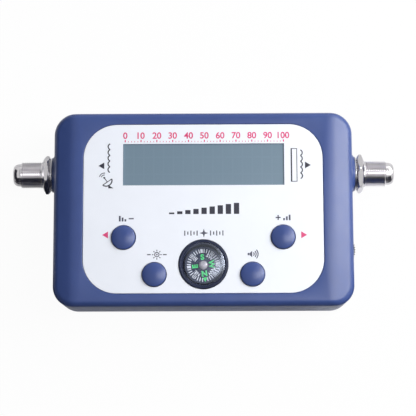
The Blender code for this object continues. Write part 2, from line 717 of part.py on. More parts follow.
def display_pieces():
    """Display glass, light guide, holder and contact strip, stacked from the front wall down."""
    centre = axis_empty("display_centre", (WINDOW_X, WINDOW_Y, 0))
    half_x = WINDOW_LENGTH / 2 + GLASS_OVERLAP_X
    half_y = WINDOW_WIDTH / 2 + GLASS_OVERLAP_Y
    polarizer_top = ROOF_Z - SIDE_GAP
    polarizer_bottom = polarizer_top - POLARIZER_THICKNESS
    front_top = polarizer_bottom - SEAT_GAP
    front_bottom = front_top - GLASS_THICKNESS
    rear_top = front_bottom - SEAT_GAP
    rear_bottom = rear_top - GLASS_THICKNESS
    ledge = rear_bottom - SEAT_GAP
    guide_top = ledge - SEAT_GAP
    led_top = ON_BOARD_Z + BACKLIGHT_LED_HEIGHT
    guide_bottom = led_top + SEAT_GAP

    film_x = half_x - POLARIZER_MARGIN
    film_y = half_y - POLARIZER_MARGIN
    film = box((-film_x, -film_y, polarizer_bottom), (film_x, film_y, polarizer_top))
    place_shape("lcd_polarizer", film, "display_grey", parent=centre)

    low_y = -half_y - CONTACT_LEDGE
    front = box((-half_x, low_y, front_bottom), (half_x, half_y, front_top))
    place_shape("lcd_front_glass", front, "clear_glass", parent=centre)

    rear = box((-half_x, -half_y, rear_bottom), (half_x, half_y, rear_top))
    place_shape("lcd_rear_glass", rear, "clear_glass", parent=centre)

    guide_x = half_x - LIGHT_GUIDE_MARGIN
    guide_y = half_y - LIGHT_GUIDE_MARGIN
    guide = box((-guide_x, -guide_y, guide_bottom), (guide_x, guide_y, guide_top))
    place_shape("lcd_backlight", guide, "light_guide", parent=centre)

    pocket_x = half_x + SIDE_GAP
    pocket_low = low_y - SIDE_GAP
    pocket_high = half_y + SIDE_GAP
    outer = box(
        (-pocket_x - HOLDER_WALL, pocket_low - HOLDER_WALL, ON_BOARD_Z),
        (pocket_x + HOLDER_WALL, pocket_high + HOLDER_WALL, polarizer_top),
    )
    pocket = box((-pocket_x, pocket_low, ledge), (pocket_x, pocket_high, polarizer_top + CUT_OVERRUN))
    through = box(
        (-pocket_x + HOLDER_LEDGE, pocket_low + HOLDER_LEDGE, ON_BOARD_Z - CUT_OVERRUN),
        (pocket_x - HOLDER_LEDGE, pocket_high - HOLDER_LEDGE, ledge + CUT_OVERRUN),
    )
    holder = carved("lcd_holder", outer, [("DIFFERENCE", pocket), ("DIFFERENCE", through)])
    place("lcd_holder", holder, "black_plastic", parent=centre)

    strip_x = half_x - RUBBER_STRIP_MARGIN
    strip_low = pocket_low + HOLDER_LEDGE + SIDE_GAP
    strip_high = -half_y - RUBBER_STRIP_GAP
    strip = box((-strip_x, strip_low, ON_BOARD_Z), (strip_x, strip_high, front_bottom - SEAT_GAP))
    place_shape("lcd_rubber_connector", strip, "soft_grey", parent=centre)

    led_x = BACKLIGHT_LED_LENGTH / 2
    led_y = BACKLIGHT_LED_WIDTH / 2
    led = mesh_from(box((-led_x, -led_y, ON_BOARD_Z), (led_x, led_y, led_top)), "backlight_led")
    offset = half_x - BACKLIGHT_LED_INSET
    for name, side in (("backlight_led_left", -1), ("backlight_led_right", 1)):
        place(name, led, "led_white", (side * offset, 0, 0), parent=centre)


def connector_body():
    """Threaded connector barrel with a rounded nose, an inner flange and a rear barrel."""
    bore = INSULATOR_RADIUS + SIDE_GAP
    thread_end = CONNECTOR_LENGTH - NOSE_LENGTH
    thread_start = thread_end - THREAD_TURNS * THREAD_PITCH
    root = THREAD_RADIUS - THREAD_DEPTH
    flange_front = FLANGE_SEAT_DEPTH - SIDE_WALL - SIDE_GAP
    flange_back = flange_front - FLANGE_THICKNESS
    rear_end = flange_back - REAR_BARREL_LENGTH
    profile = [
        (bore, rear_end),
        (REAR_BARREL_RADIUS, rear_end),
        (REAR_BARREL_RADIUS, flange_back),
        (FLANGE_RADIUS, flange_back),
        (FLANGE_RADIUS, flange_front),
        (THREAD_RADIUS, flange_front),
        (THREAD_RADIUS, thread_start),
    ]
    for turn in range(THREAD_TURNS):
        height = thread_start + turn * THREAD_PITCH
        profile.append((root, height + THREAD_PITCH / 2))
        if turn < THREAD_TURNS - 1:
            profile.append((THREAD_RADIUS, height + THREAD_PITCH))
    profile.append((NOSE_RADIUS, thread_end))
    centre = (NOSE_RADIUS - NOSE_ROUND, CONNECTOR_LENGTH - NOSE_ROUND)
    profile.extend(arc_points(centre, NOSE_ROUND, 0, 90, ROUND_STEPS))
    profile.append((bore, CONNECTOR_LENGTH))
    return turned(list(reversed(profile)), THREAD_CIRCLE, ring=True)


def hex_nut():
    """Six-sided nut with turned corners and a plain bore over the thread."""
    low = BOSS_HEIGHT + WASHER_THICKNESS + 2 * SIDE_GAP
    high = low + NUT_THICKNESS
    corner = NUT_ACROSS_FLATS / math.sqrt(3)
    outline = arc_points((0, 0), corner, 0, 300, 5)
    face = corner - 2 * NUT_CHAMFER
    profile = [(0, low), (face, low), (corner, low + NUT_CHAMFER)]
    profile.extend([(corner, high - NUT_CHAMFER), (face, high), (0, high)])
    bore = cylinder(THREAD_RADIUS + SIDE_GAP, low - CUT_OVERRUN, high + CUT_OVERRUN, THREAD_CIRCLE)
    steps = [("INTERSECT", turned(profile, NUT_CIRCLE)), ("DIFFERENCE", bore)]
    return carved("connector_nut", prism(outline, low, high), steps)


def connector_meshes():
    """(mesh, material) of each connector piece, built outward along +Z from the case side."""
    flange_back = FLANGE_SEAT_DEPTH - SIDE_WALL - SIDE_GAP - FLANGE_THICKNESS
    rear_end = flange_back - REAR_BARREL_LENGTH
    insulator_end = CONNECTOR_LENGTH - INSULATOR_RECESS
    contact_end = CONNECTOR_LENGTH - CONTACT_RECESS
    washer_low = BOSS_HEIGHT + SIDE_GAP
    washer_high = washer_low + WASHER_THICKNESS
    insulator = tube(INSULATOR_RADIUS, CONTACT_RADIUS + SIDE_GAP, rear_end, insulator_end, SMALL_CIRCLE)
    contact = cylinder(CONTACT_RADIUS, rear_end - CONTACT_TAIL, contact_end, SCREW_CIRCLE)
    washer = tube(WASHER_RADIUS, THREAD_RADIUS + SIDE_GAP, washer_low, washer_high, BUTTON_CIRCLE)
    return {
        "connector_body": (mesh_from(connector_body(), "connector_body"), "nickel"),
        "connector_insulator": (mesh_from(insulator, "connector_insulator"), "insulator_white"),
        "connector_contact": (mesh_from(contact, "connector_contact"), "brass"),
        "connector_washer": (mesh_from(washer, "connector_washer"), "spring_steel"),
        "connector_nut": (hex_nut(), "nickel"),
    }


def connectors():
    """Both coaxial connectors, placed by an empty on each axis."""
    meshes = connector_meshes()
    for side_name, side, nut_turn in (("dish", -1, DISH_NUT_TURN), ("receiver", 1, RECEIVER_NUT_TURN)):
        location = (side * HALF_LENGTH, CONNECTOR_Y, CONNECTOR_Z)
        rotation = (0, side * math.pi / 2, 0)
        axis = axis_empty(f"{side_name}_connector_axis", location, rotation)
        for piece_name, (mesh, material_name) in meshes.items():
            turn = (0, 0, nut_turn if piece_name == "connector_nut" else 0)
            place(f"{side_name}_{piece_name}", mesh, material_name, rotation=turn, parent=axis)


def board_outline():
    """Board outline with both lower corners stepped round the screw posts, and both upper ones
    also clear of the connectors."""
    clear = CASE_COLUMN_RADIUS + BOARD_CORNER_CLEARANCE
    step_x = CASE_SCREW_X - clear
    low_y = -(CASE_SCREW_Y - clear)
    high_y = CONNECTOR_Y - FLANGE_RADIUS - BOARD_CORNER_CLEARANCE
    right = [
        (step_x, -BOARD_EDGE_Y),
        (step_x, low_y),
        (BOARD_END_X, low_y),
        (BOARD_END_X, high_y),
        (step_x, high_y),
        (step_x, BOARD_EDGE_Y),
    ]
    return right + [(-x, y) for x, y in reversed(right)]


def main_board():
    steps = []
    low = BOARD_BOTTOM_Z - CUT_OVERRUN
    high = BOARD_TOP_Z + CUT_OVERRUN
    hole = BOARD_SCREW_RADIUS + SIDE_GAP
    for centre in four_corners(BOARD_SCREW_X, BOARD_SCREW_Y):
        steps.append(("DIFFERENCE", cylinder(hole, low, high, SCREW_CIRCLE, centre)))
    base = prism(board_outline(), BOARD_BOTTOM_Z, BOARD_TOP_Z)
    place("main_board", carved("main_board", base, steps), "board_green")


def shield_can():
    top = BOARD_BOTTOM_Z - SEAT_GAP
    low = top - SHIELD_HEIGHT
    half_x = BOARD_SCREW_X - SHIELD_END_MARGIN
    half_y = SHIELD_WIDTH / 2
    inner_x = half_x - SHIELD_WALL
    inner_y = half_y - SHIELD_WALL
    hollow = box((-inner_x, -inner_y, low + SHIELD_WALL), (inner_x, inner_y, top + CUT_OVERRUN))
    block = box((-half_x, -half_y, low), (half_x, half_y, top))
    can = carved("shield_can", block, [("DIFFERENCE", hollow)])
    place("shield_can", can, "tin_plate", (0, CONNECTOR_Y, 0))


def screw_mesh(name, radius, length, head_radius, head_height):
    """Pan-head screw pointing along +Z from under its head, with a cross recess."""
    round_radius = head_height / 2
    profile = [(0, -head_height)]
    round_centre = (head_radius - round_radius, -round_radius)
    profile.extend(arc_points(round_centre, round_radius, -90, 0, HEAD_ROUND_STEPS))
    profile.extend([(head_radius, 0), (radius, 0), (radius, length - radius), (0, length)])
    arm = head_radius * SCREW_SLOT_LENGTH_SHARE / 2
    half = head_radius * SCREW_SLOT_WIDTH_SHARE / 2
    cross = [
        (half, half),
        (half, arm),
        (-half, arm),
        (-half, half),
        (-arm, half),
        (-arm, -half),
        (-half, -half),
        (-half, -arm),
        (half, -arm),
        (half, -half),
        (arm, -half),
        (arm, half),
    ]
    recess = prism(cross, -head_height - CUT_OVERRUN, head_height * (SCREW_SLOT_DEPTH_SHARE - 1))
    return carved(name, turned(profile, SCREW_CIRCLE), [("DIFFERENCE", recess)])


def screws():
    """Four screws that join the shells, and four that hold the board to the front shell."""
    corner_names = ("upper_left", "upper_right", "lower_left", "lower_right")
    head = (CASE_SCREW_HEAD_RADIUS, CASE_SCREW_HEAD_HEIGHT)
    case_screw = screw_mesh("case_screw", CASE_SCREW_RADIUS, CASE_SCREW_LENGTH, *head)
    for corner, (x, y) in zip(corner_names, four_corners(CASE_SCREW_X, CASE_SCREW_Y)):
        place(f"case_screw_{corner}", case_screw, "spring_steel", (x, y, CASE_SCREW_HEAD_Z))
    head = (BOARD_SCREW_HEAD_RADIUS, BOARD_SCREW_HEAD_HEIGHT)
    board_screw = screw_mesh("board_screw", BOARD_SCREW_RADIUS, BOARD_SCREW_LENGTH, *head)
    for corner, (x, y) in zip(corner_names, four_corners(BOARD_SCREW_X, BOARD_SCREW_Y)):
        place(f"board_screw_{corner}", board_screw, "spring_steel", (x, y, BOARD_SCREW_HEAD_Z))


def button_cap_mesh():
    """Domed cap with a flange behind the front wall and a stem down to the switch."""
    flange_top = ROOF_Z - SIDE_GAP
    flange_bottom = flange_top - BUTTON_FLANGE_THICKNESS
    stem_bottom = ON_BOARD_Z + SWITCH_HEIGHT + SWITCH_PLUNGER_PROUD + SEAT_GAP
    side_top = LABEL_TOP_Z + BUTTON_SIDE_HEIGHT
    shoulder = BUTTON_RADIUS - BUTTON_EDGE_ROUND
    dome_radius = (shoulder * shoulder + BUTTON_CROWN * BUTTON_CROWN) / (2 * BUTTON_CROWN)
    dome_base = side_top + BUTTON_EDGE_ROUND
    dome_centre = dome_base + BUTTON_CROWN - dome_radius
    half_angle = math.degrees(math.asin(shoulder / dome_radius))
    profile = [
        (0, stem_bottom),
        (BUTTON_STEM_RADIUS, stem_bottom),
        (BUTTON_STEM_RADIUS, flange_bottom),
        (BUTTON_RADIUS + BUTTON_FLANGE_OVERLAP, flange_bottom),
        (BUTTON_RADIUS + BUTTON_FLANGE_OVERLAP, flange_top),
        (BUTTON_RADIUS, flange_top),
    ]
    profile.extend(arc_points((shoulder, side_top), BUTTON_EDGE_ROUND, 0, 90 - half_angle, ROUND_STEPS))
    profile.extend(arc_points((0, dome_centre), dome_radius, 90 - half_angle, 90, DOME_STEPS)[1:-1])
    profile.append((0, dome_base + BUTTON_CROWN))
    return mesh_from(turned(profile, BUTTON_CIRCLE), "button_cap")


def buttons():
    """Four push buttons, each a cap over the plunger of a push switch on the board."""
    cap = button_cap_mesh()
    switch_top = ON_BOARD_Z + SWITCH_HEIGHT
    plunger_bottom = switch_top - SWITCH_PLUNGER_DEPTH
    plunger_top = switch_top + SWITCH_PLUNGER_PROUD
    plunger_form = cylinder(SWITCH_PLUNGER_RADIUS, plunger_bottom, plunger_top, SMALL_CIRCLE)
    plunger = mesh_from(plunger_form, "switch_plunger")
    half = SWITCH_SIDE / 2
    block = box((-half, -half, ON_BOARD_Z), (half, half, switch_top))
    well_radius = SWITCH_PLUNGER_RADIUS + SIDE_GAP
    well_bottom = plunger_bottom - BUTTON_TRAVEL - SEAT_GAP
    well = cylinder(well_radius, well_bottom, switch_top + CUT_OVERRUN, SMALL_CIRCLE)
    switch = carved("push_switch", block, [("DIFFERENCE", well)])
    for name, centre in button_places().items():
        axis = axis_empty(f"{name}_button_axis", (centre[0], centre[1], 0))
        place(f"{name}_button", cap, "button_blue", parent=axis)
        place(f"{name}_switch_plunger", plunger, "soft_grey", parent=axis)
        place(f"{name}_switch_body", switch, "black_plastic", parent=axis)


def compass():
    """Button compass: cup, domed lens, card with its bearing and magnet, and the fixed pivot."""
    axis = axis_empty("compass_axis", (COMPASS_X, COMPASS_Y, 0))
    rim = LABEL_TOP_Z + COMPASS_PROUD
    cup_bottom = BOARD_TOP_Z + SIDE_GAP + WELL_FLOOR + SIDE_GAP
    cup_floor = cup_bottom + CUP_FLOOR
    bore = COMPASS_RADIUS - CUP_WALL
    mouth = bore + LENS_SEAT_WIDTH
    seat = rim - LENS_SEAT_DEPTH
    cup = turned(
        [
            (0, cup_bottom),
            (COMPASS_RADIUS, cup_bottom),
            (COMPASS_RADIUS, rim - CUP_CHAMFER),
            (COMPASS_RADIUS - CUP_CHAMFER, rim),
            (mouth, rim),
            (mouth, seat),
            (bore, seat),
            (bore, cup_floor),
            (0, cup_floor),
        ],
        BIG_CIRCLE,
    )
    place_shape("compass_cup", cup, "black_plastic", parent=axis)

    lens_radius = mouth - SIDE_GAP
    lens_low = seat + SEAT_GAP
    lens_high = lens_low + LENS_THICKNESS
    place_shape("compass_lens", lens(lens_radius, lens_low, lens_high), "clear_glass", parent=axis)

    card_top = rim - CARD_DEPTH
    card_bottom = card_top - CARD_THICKNESS
    hole = BEARING_SPIGOT_RADIUS + SIDE_GAP
    card = tube(bore - CARD_SIDE_GAP, hole, card_bottom, card_top, BIG_CIRCLE)
    place_shape("compass_card", card, "card_black", parent=axis)

    magnet_top = card_bottom - SEAT_GAP
    magnet = tube(MAGNET_RADIUS, hole, magnet_top - MAGNET_THICKNESS, magnet_top, SMALL_CIRCLE)
    place_shape("compass_magnet", magnet, "magnet_dark", parent=axis)

    flange_low = card_top + SEAT_GAP
    flange_high = flange_low + BEARING_FLANGE_THICKNESS
    spigot_low = flange_low - BEARING_SPIGOT_LENGTH
    crown = arc_points((0, 0), 1, 90, 0, ROUND_STEPS)
    profile = [(0, flange_low), (BEARING_BORE_RADIUS, flange_low), (BEARING_BORE_RADIUS, spigot_low)]
    profile.extend([(BEARING_SPIGOT_RADIUS, spigot_low), (BEARING_SPIGOT_RADIUS, flange_low)])
    profile.append((BEARING_FLANGE_RADIUS, flange_low))
    for across, rise in reversed(crown[1:]):
        profile.append((BEARING_FLANGE_RADIUS * across, flange_high + BEARING_CROWN * rise))
    profile.append((0, flange_high + BEARING_CROWN))
    place_shape("compass_bearing_cap", turned(profile, SMALL_CIRCLE), "tin_plate", parent=axis)

    foot_low = cup_floor + SEAT_GAP
    foot_high = foot_low + PIVOT_FOOT_HEIGHT
    tip = flange_low - SEAT_GAP
    pivot = turned(
        [
            (0, foot_low),
            (PIVOT_FOOT_RADIUS, foot_low),
            (PIVOT_FOOT_RADIUS, foot_high),
            (PIVOT_RADIUS, foot_high),
            (PIVOT_RADIUS, tip - PIVOT_RADIUS),
            (0, tip),
        ],
        SCREW_CIRCLE,
    )
    place_shape("compass_pivot", pivot, "brass", parent=axis)


def lens(radius, low, high):
    """Domed lens of even thickness."""
    curve = (radius * radius + LENS_CROWN * LENS_CROWN) / (2 * LENS_CROWN)
    half_angle = math.degrees(math.asin(radius / curve))
    upper = arc_points((0, high + LENS_CROWN - curve), curve, 90 - half_angle, 90, DOME_STEPS)
    drop = high - low
    lower = [(across, height - drop) for across, height in reversed(upper)]
    profile = [(0, lower[0][1])] + lower[1:] + upper[:-1] + [(0, upper[-1][1])]
    return turned(profile, BIG_CIRCLE)


def thumbwheel():
    """Serrated wheel that shows through the case side, on the shaft of its trimmer."""
    axis = axis_empty("thumbwheel_axis", (WHEEL_X, WHEEL_Y, 0))
    outline = []
    for tooth in range(WHEEL_TEETH):
        angle = 2 * math.pi * tooth / WHEEL_TEETH
        half_pitch = math.pi / WHEEL_TEETH
        inner = WHEEL_RADIUS - WHEEL_TOOTH_DEPTH
        outline.append((WHEEL_RADIUS * math.cos(angle), WHEEL_RADIUS * math.sin(angle)))
        outline.append((inner * math.cos(angle + half_pitch), inner * math.sin(angle + half_pitch)))
    bore_radius = WHEEL_SHAFT_RADIUS + WHEEL_BORE_GAP
    bore = cylinder(bore_radius, WHEEL_BOTTOM_Z - CUT_OVERRUN, WHEEL_TOP_Z + CUT_OVERRUN, SCREW_CIRCLE)
    wheel = carved("level_thumbwheel", prism(outline, WHEEL_BOTTOM_Z, WHEEL_TOP_Z), [("DIFFERENCE", bore)])
    place("level_thumbwheel", wheel, "black_plastic", parent=axis)

    half = WHEEL_RADIUS - WHEEL_BASE_INSET
    base_top = ON_BOARD_Z + WHEEL_BASE_HEIGHT
    base = box((-half, -half, ON_BOARD_Z), (half, half, base_top))
    shaft = cylinder(WHEEL_SHAFT_RADIUS, base_top - WHEEL_BASE_HEIGHT / 2, WHEEL_TOP_Z, SCREW_CIRCLE)
    trimmer = carved("trimmer_base", base, [("UNION", shaft)])
    place("trimmer_base", trimmer, "black_plastic", parent=axis)


def board_components():
    """Sounder, controller, capacitors and regulator soldered to the board."""
    sounder_top = ON_BOARD_Z + SOUNDER_HEIGHT
    hole_floor = sounder_top - SOUNDER_HOLE_DEPTH
    profile = [(0, ON_BOARD_Z), (SOUNDER_RADIUS, ON_BOARD_Z), (SOUNDER_RADIUS, sounder_top)]
    profile.extend([(SOUNDER_HOLE_RADIUS, sounder_top), (SOUNDER_HOLE_RADIUS, hole_floor), (0, hole_floor)])
    location = (BOARD_END_X - SOUNDER_END_DISTANCE, SOUNDER_Y_SHARE * CASE_WIDTH, 0)
    place_shape("buzzer_sounder", turned(profile, SMALL_CIRCLE), "black_plastic", location)

    half = CHIP_SIDE / 2
    chip = box((-half, -half, ON_BOARD_Z), (half, half, ON_BOARD_Z + CHIP_HEIGHT))
    location = (CHIP_END_DISTANCE - BOARD_END_X, CHIP_Y_SHARE * CASE_WIDTH, 0)
    place_shape("controller_chip", chip, "black_plastic", location)

    can_top = ON_BOARD_Z + CAPACITOR_HEIGHT
    profile = [(0, ON_BOARD_Z), (CAPACITOR_RADIUS, ON_BOARD_Z)]
    round_centre = (CAPACITOR_RADIUS - CAPACITOR_ROUND, can_top - CAPACITOR_ROUND)
    profile.extend(arc_points(round_centre, CAPACITOR_ROUND, 0, 90, HEAD_ROUND_STEPS))
    profile.append((0, can_top))
    capacitor = mesh_from(turned(profile, SMALL_CIRCLE), "capacitor")
    for name, share in zip(("capacitor_upper", "capacitor_lower"), CAPACITOR_Y_SHARES):
        location = (CAPACITOR_END_DISTANCE - BOARD_END_X, share * CASE_WIDTH, 0)
        place(name, capacitor, "tin_plate", location)

    half_x = REGULATOR_LENGTH / 2
    half_y = REGULATOR_WIDTH / 2
    top = BOARD_BOTTOM_Z - SEAT_GAP
    regulator = box((-half_x, -half_y, top - REGULATOR_HEIGHT), (half_x, half_y, top))
    place_shape("voltage_regulator", regulator, "black_plastic", (0, REGULATOR_Y_SHARE * CASE_WIDTH, 0))


clear_scene()
front_shell()
back_shell()
face_label()
display_pieces()
main_board()
shield_can()
screws()
connectors()
buttons()
compass()
thumbwheel()
board_components()
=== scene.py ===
"""Looks of the hand-held satellite signal meter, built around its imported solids.

X runs from the dish connector (-X) to the receiver connector (+X), Y up the face, Z out of the face.
All lengths are metres. Sizes repeat those of the solids, and refined pieces stand for the faceted ones.
"""

import json
import math

import bmesh
import bpy
from mathutils import Matrix, Vector


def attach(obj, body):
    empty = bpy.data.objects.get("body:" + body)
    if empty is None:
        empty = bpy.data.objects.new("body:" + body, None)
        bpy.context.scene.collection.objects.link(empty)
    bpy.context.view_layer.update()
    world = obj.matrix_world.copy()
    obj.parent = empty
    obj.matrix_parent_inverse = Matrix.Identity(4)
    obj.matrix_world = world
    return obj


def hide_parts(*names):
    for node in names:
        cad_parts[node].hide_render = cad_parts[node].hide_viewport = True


# Case
CASE_LENGTH = 0.1080
CASE_WIDTH = 0.0700
CASE_HEIGHT = 0.0270
CORNER_RADIUS = 0.0075
EDGE_ROUND = 0.0022
INNER_ROUND = 0.0010
SIDE_WALL = 0.0020
FRONT_WALL = 0.0022
BACK_WALL = 0.0020
SLOPE_START = 0.0463
SLOPE_BLEND = 0.0020
SLOPE_ANGLE = math.radians(17)
PARTING_GAP = 0.0003
LIP_WIDTH = 0.0010
LIP_HEIGHT = 0.0015
LIP_ROOT = 0.0025
LIP_ROOT_SPREAD = 0.0002
SEAT_GAP = 0.0002
SIDE_GAP = 0.0003
FIT_GAP = 0.0001
OVERRUN = 0.0010
HALF_LENGTH = CASE_LENGTH / 2
HALF_WIDTH = CASE_WIDTH / 2
PARTING_Z = CASE_HEIGHT / 2
ROOF_Z = CASE_HEIGHT - FRONT_WALL

# Label and window
LABEL_HALF_X = 0.0428
LABEL_HALF_Y = 0.03035
LABEL_CORNER = 0.0120
LABEL_SPREAD = 0.00015
RECESS_Z = 0.0264
RECESS_ROUND = 0.00022
LABEL_BOTTOM = 0.0266
LABEL_TOP = 0.02695
LABEL_EDGE = 0.00008
WINDOW_PLACE = (0.0002, 0.015903)
WINDOW_HALF_X = 0.02885
WINDOW_HALF_Y = 0.00745
WINDOW_MARGIN = 0.00012
WINDOW_FILM_SPREAD = 0.00007
WINDOW_FILM_BOTTOM = 0.02642
WINDOW_FILM_TOP = 0.02658
PRINT_LOW = LABEL_TOP - 0.000005
PRINT_HIGH = LABEL_TOP + 0.000025

# Connectors
CONNECTOR_Y = 0.0145
CONNECTOR_Z = 0.0135
CONNECTOR_LENGTH = 0.0158
THREAD_RADIUS = 0.00476
THREAD_DEPTH = 0.00045
THREAD_PITCH = 0.00079
THREAD_TURNS = 10
THREAD_FLAT = 0.06
THREAD_ROWS = 10
THREAD_HOLE = THREAD_RADIUS + 0.00012
NOSE_RADIUS = 0.0041
NOSE_LENGTH = 0.0029
NOSE_ROUND = 0.0015
NOSE_REACH = 0.0022
NOSE_BEVEL = 0.0001
GROOVE_DEPTH = 0.00015
GROOVE_WIDTH = 0.00035
GROOVE_RISE = 0.00010
BOSS_RADIUS = 0.0065
BOSS_FLARE = 0.0022
BOSS_HEIGHT = 0.0013
BOSS_RIM = 0.0002
BOSS_STEPS = 7
BOSS_HOLLOW = 1.15
FLANGE_RADIUS = 0.0060
FLANGE_THICKNESS = 0.0015
FLANGE_SEAT_DEPTH = 0.0001
REAR_BARREL_RADIUS = 0.0040
REAR_BARREL_LENGTH = 0.0064
INSULATOR_RADIUS = 0.0022
INSULATOR_SUNK = 0.0006
INSULATOR_BEVEL = 0.0002
CONTACT_RADIUS = 0.0005
WASHER_RADIUS = 0.0063
WASHER_THICKNESS = 0.0004
WASHER_RIM = 0.00012
WASHER_HOLE_GAP = 0.0002
NUT_ACROSS_FLATS = 0.0127
NUT_THICKNESS = 0.0028
NUT_FACE_SHARE = 0.90
NUT_BACK_SHARE = 0.96
NUT_COLLAR = 0.00045
NUT_COLLAR_SHARES = (0.86, 0.95)
NUT_CHAMFER = math.radians(30)
NUT_ROWS = 24
BORE_BEVEL = 0.0003
NUT_TURNS = {"dish": math.radians(4), "receiver": math.radians(21)}
THREAD_END = CONNECTOR_LENGTH - NOSE_LENGTH
THREAD_START = THREAD_END - THREAD_TURNS * THREAD_PITCH
FLANGE_FRONT = FLANGE_SEAT_DEPTH - SIDE_WALL - SIDE_GAP
FLANGE_BACK = FLANGE_FRONT - FLANGE_THICKNESS
REAR_END = FLANGE_BACK - REAR_BARREL_LENGTH

# Buttons
BUTTON_RADIUS = 0.0043
BUTTON_HOLE = BUTTON_RADIUS + 0.0002
BUTTON_SIDE_HEIGHT = 0.0003
BUTTON_EDGE_ROUND = 0.0005
BUTTON_CROWN = 0.0007
BUTTON_FLANGE_OVERLAP = 0.0010
BUTTON_FLANGE_THICKNESS = 0.0011
BUTTON_STEM_RADIUS = 0.0020
BUTTON_STEM_BOTTOM = 0.0208
BUTTON_PLACES = {
    "attenuation_down": (-0.0285, -0.010501),
    "attenuation_up": (0.0285, -0.010501),
    "light": (-0.0175, -0.0238),
    "buzzer": (0.0175, -0.0238),
}

# Compass
COMPASS_PLACE = (0.0, -0.0202)
COMPASS_RADIUS = 0.00875
COMPASS_RIM = 0.0273
COMPASS_BOTTOM = 0.0176
COMPASS_LABEL_GAP = 0.0002
CUP_WALL = 0.00145
CUP_FLOOR = 0.0010
CUP_RIM_ROUND = 0.0003
CUP_MOUTH_ROUND = 0.00012
LENS_SEAT_WIDTH = 0.0006
LENS_SEAT_DEPTH = 0.0010
LENS_CROWN = 0.0010
LENS_THICKNESS = 0.0008
LENS_FLATNESS = 3.8
LENS_STEPS = 24
LENS_STEP_POWER = 1.3
CARD_TOP = 0.0237
CARD_THICKNESS = 0.0004
CARD_RADIUS = 0.0066
CARD_HOLE = 0.0015
CARD_TURN = 187.0
CARD_PRINT = 0.00003
TICK_REACH = (0.0045, 0.0059)
HUB_RADIUS = 0.0016
HUB_FLANGE = 0.0002
HUB_CROWN = 0.0006
HUB_SPIGOT = 0.0012
HUB_SPIGOT_LENGTH = 0.0016
HUB_PIN_HOLE = 0.0006
HUB_DIMPLE = ((0.00100, -0.00018), (0.00092, -0.00018), (0.00086, -0.00004), (0.00050, 0.00004), (0, 0.00006))

# Thumbwheel
WHEEL_PLACE = (0.0478, -0.014455)
WHEEL_RADIUS = 0.0070
WHEEL_BOTTOM = 0.0184
WHEEL_TOP = 0.0204
WHEEL_TEETH = 50
WHEEL_TOOTH_DEPTH = 0.00035
WHEEL_TOOTH = ((0.0, 0.0), (0.18, 0.0), (0.42, 1.0), (0.76, 1.0))
WHEEL_BEVEL = 0.0003
WHEEL_BEVEL_HEIGHT = 0.00025
WHEEL_BORE = 0.0015
WHEEL_SLOT_GAP = 0.0004

# Screws and posts
CASE_CORNERS = [(x, y) for y in (0.0278, -0.0278) for x in (-0.0468, 0.0468)]
SCREW_HEAD_Z = 0.0078
SCREW_LENGTH = 0.0125
SCREW_RADIUS = 0.0013
SCREW_HEAD_RADIUS = 0.0027
SCREW_HEAD_HEIGHT = 0.0020
CROSS_ARM = 0.6
CROSS_HALF_WIDTH = 0.14
CROSS_TAPER = 0.8
CROSS_FLOOR = 0.45
CASE_BOSS_RADIUS = 0.00325
CASE_COLUMN_RADIUS = 0.0040
COUNTERBORE_DEPTH = 0.0080
COUNTERBORE_CHAMFER = 0.0003
BOARD_CORNERS = [(x, y) for y in (0.0265, -0.0265) for x in (-0.0380, 0.0380)]
BOARD_POST_RADIUS = 0.0026
BOARD_SCREW_RADIUS = 0.0010
BOARD_TOP_Z = 0.0158
POST_TOP_Z = CASE_HEIGHT - 0.25 * FRONT_WALL
PILOT_TOP_CASE = 0.02165
PILOT_TOP_BOARD = 0.02235
WELL_WALL = 0.0010
WELL_FLOOR = 0.0012
WELL_FLOOR_HOLE = 0.0050

# Facet counts, and the angles in degrees from which an edge is sharp
CORNER_STEPS = 14
LABEL_CORNER_STEPS = 20
BLEND_COLUMNS = 6
ROUND_STEPS = 7
INNER_ROUND_STEPS = 3
CIRCLE = 96
HOLE_CIRCLE = 72
POST_CIRCLE = 32
NUT_CIRCLE = 144
BARREL_CIRCLE = 64
SMALL_CIRCLE = 48
SCREW_CIRCLE = 40
MARK_CIRCLE = 32
WELD_DISTANCE = 0.000002
SHARP = 32
SHARP_CARVED = 28
SHARP_DOMED = 40
SHARP_TURNED = 24

# Camera, from a fit to the label's edges, the case's sides and the threads
IMAGE_SIZE = 416
FOCAL_PIXELS = 1416.48
CAMERA_PLACE = (0.00519, -0.07554, 0.52798)
CAMERA_TILT = math.radians(8.576)
CAMERA_ROLL = math.radians(0.2417)
CAMERA_YAW = math.radians(0.3892)
SENSOR_WIDTH = 36.0

# Studio: softboxes by angle towards +X, angle towards +Y, distance, width, height and radiance
SOFTBOXES = {
    "key": (53, 20, 0.50, 0.22, 0.33, 7.0),
    "high_right": (16, -2, 0.90, 0.32, 0.48, 4.5),
    "upper_right": (50, 40, 0.60, 0.30, 0.30, 2.6),
    "middle_right": (35, 2, 0.90, 0.36, 0.45, 3.5),
    "back_right": (50, 62, 0.90, 0.60, 0.40, 1.5),
}
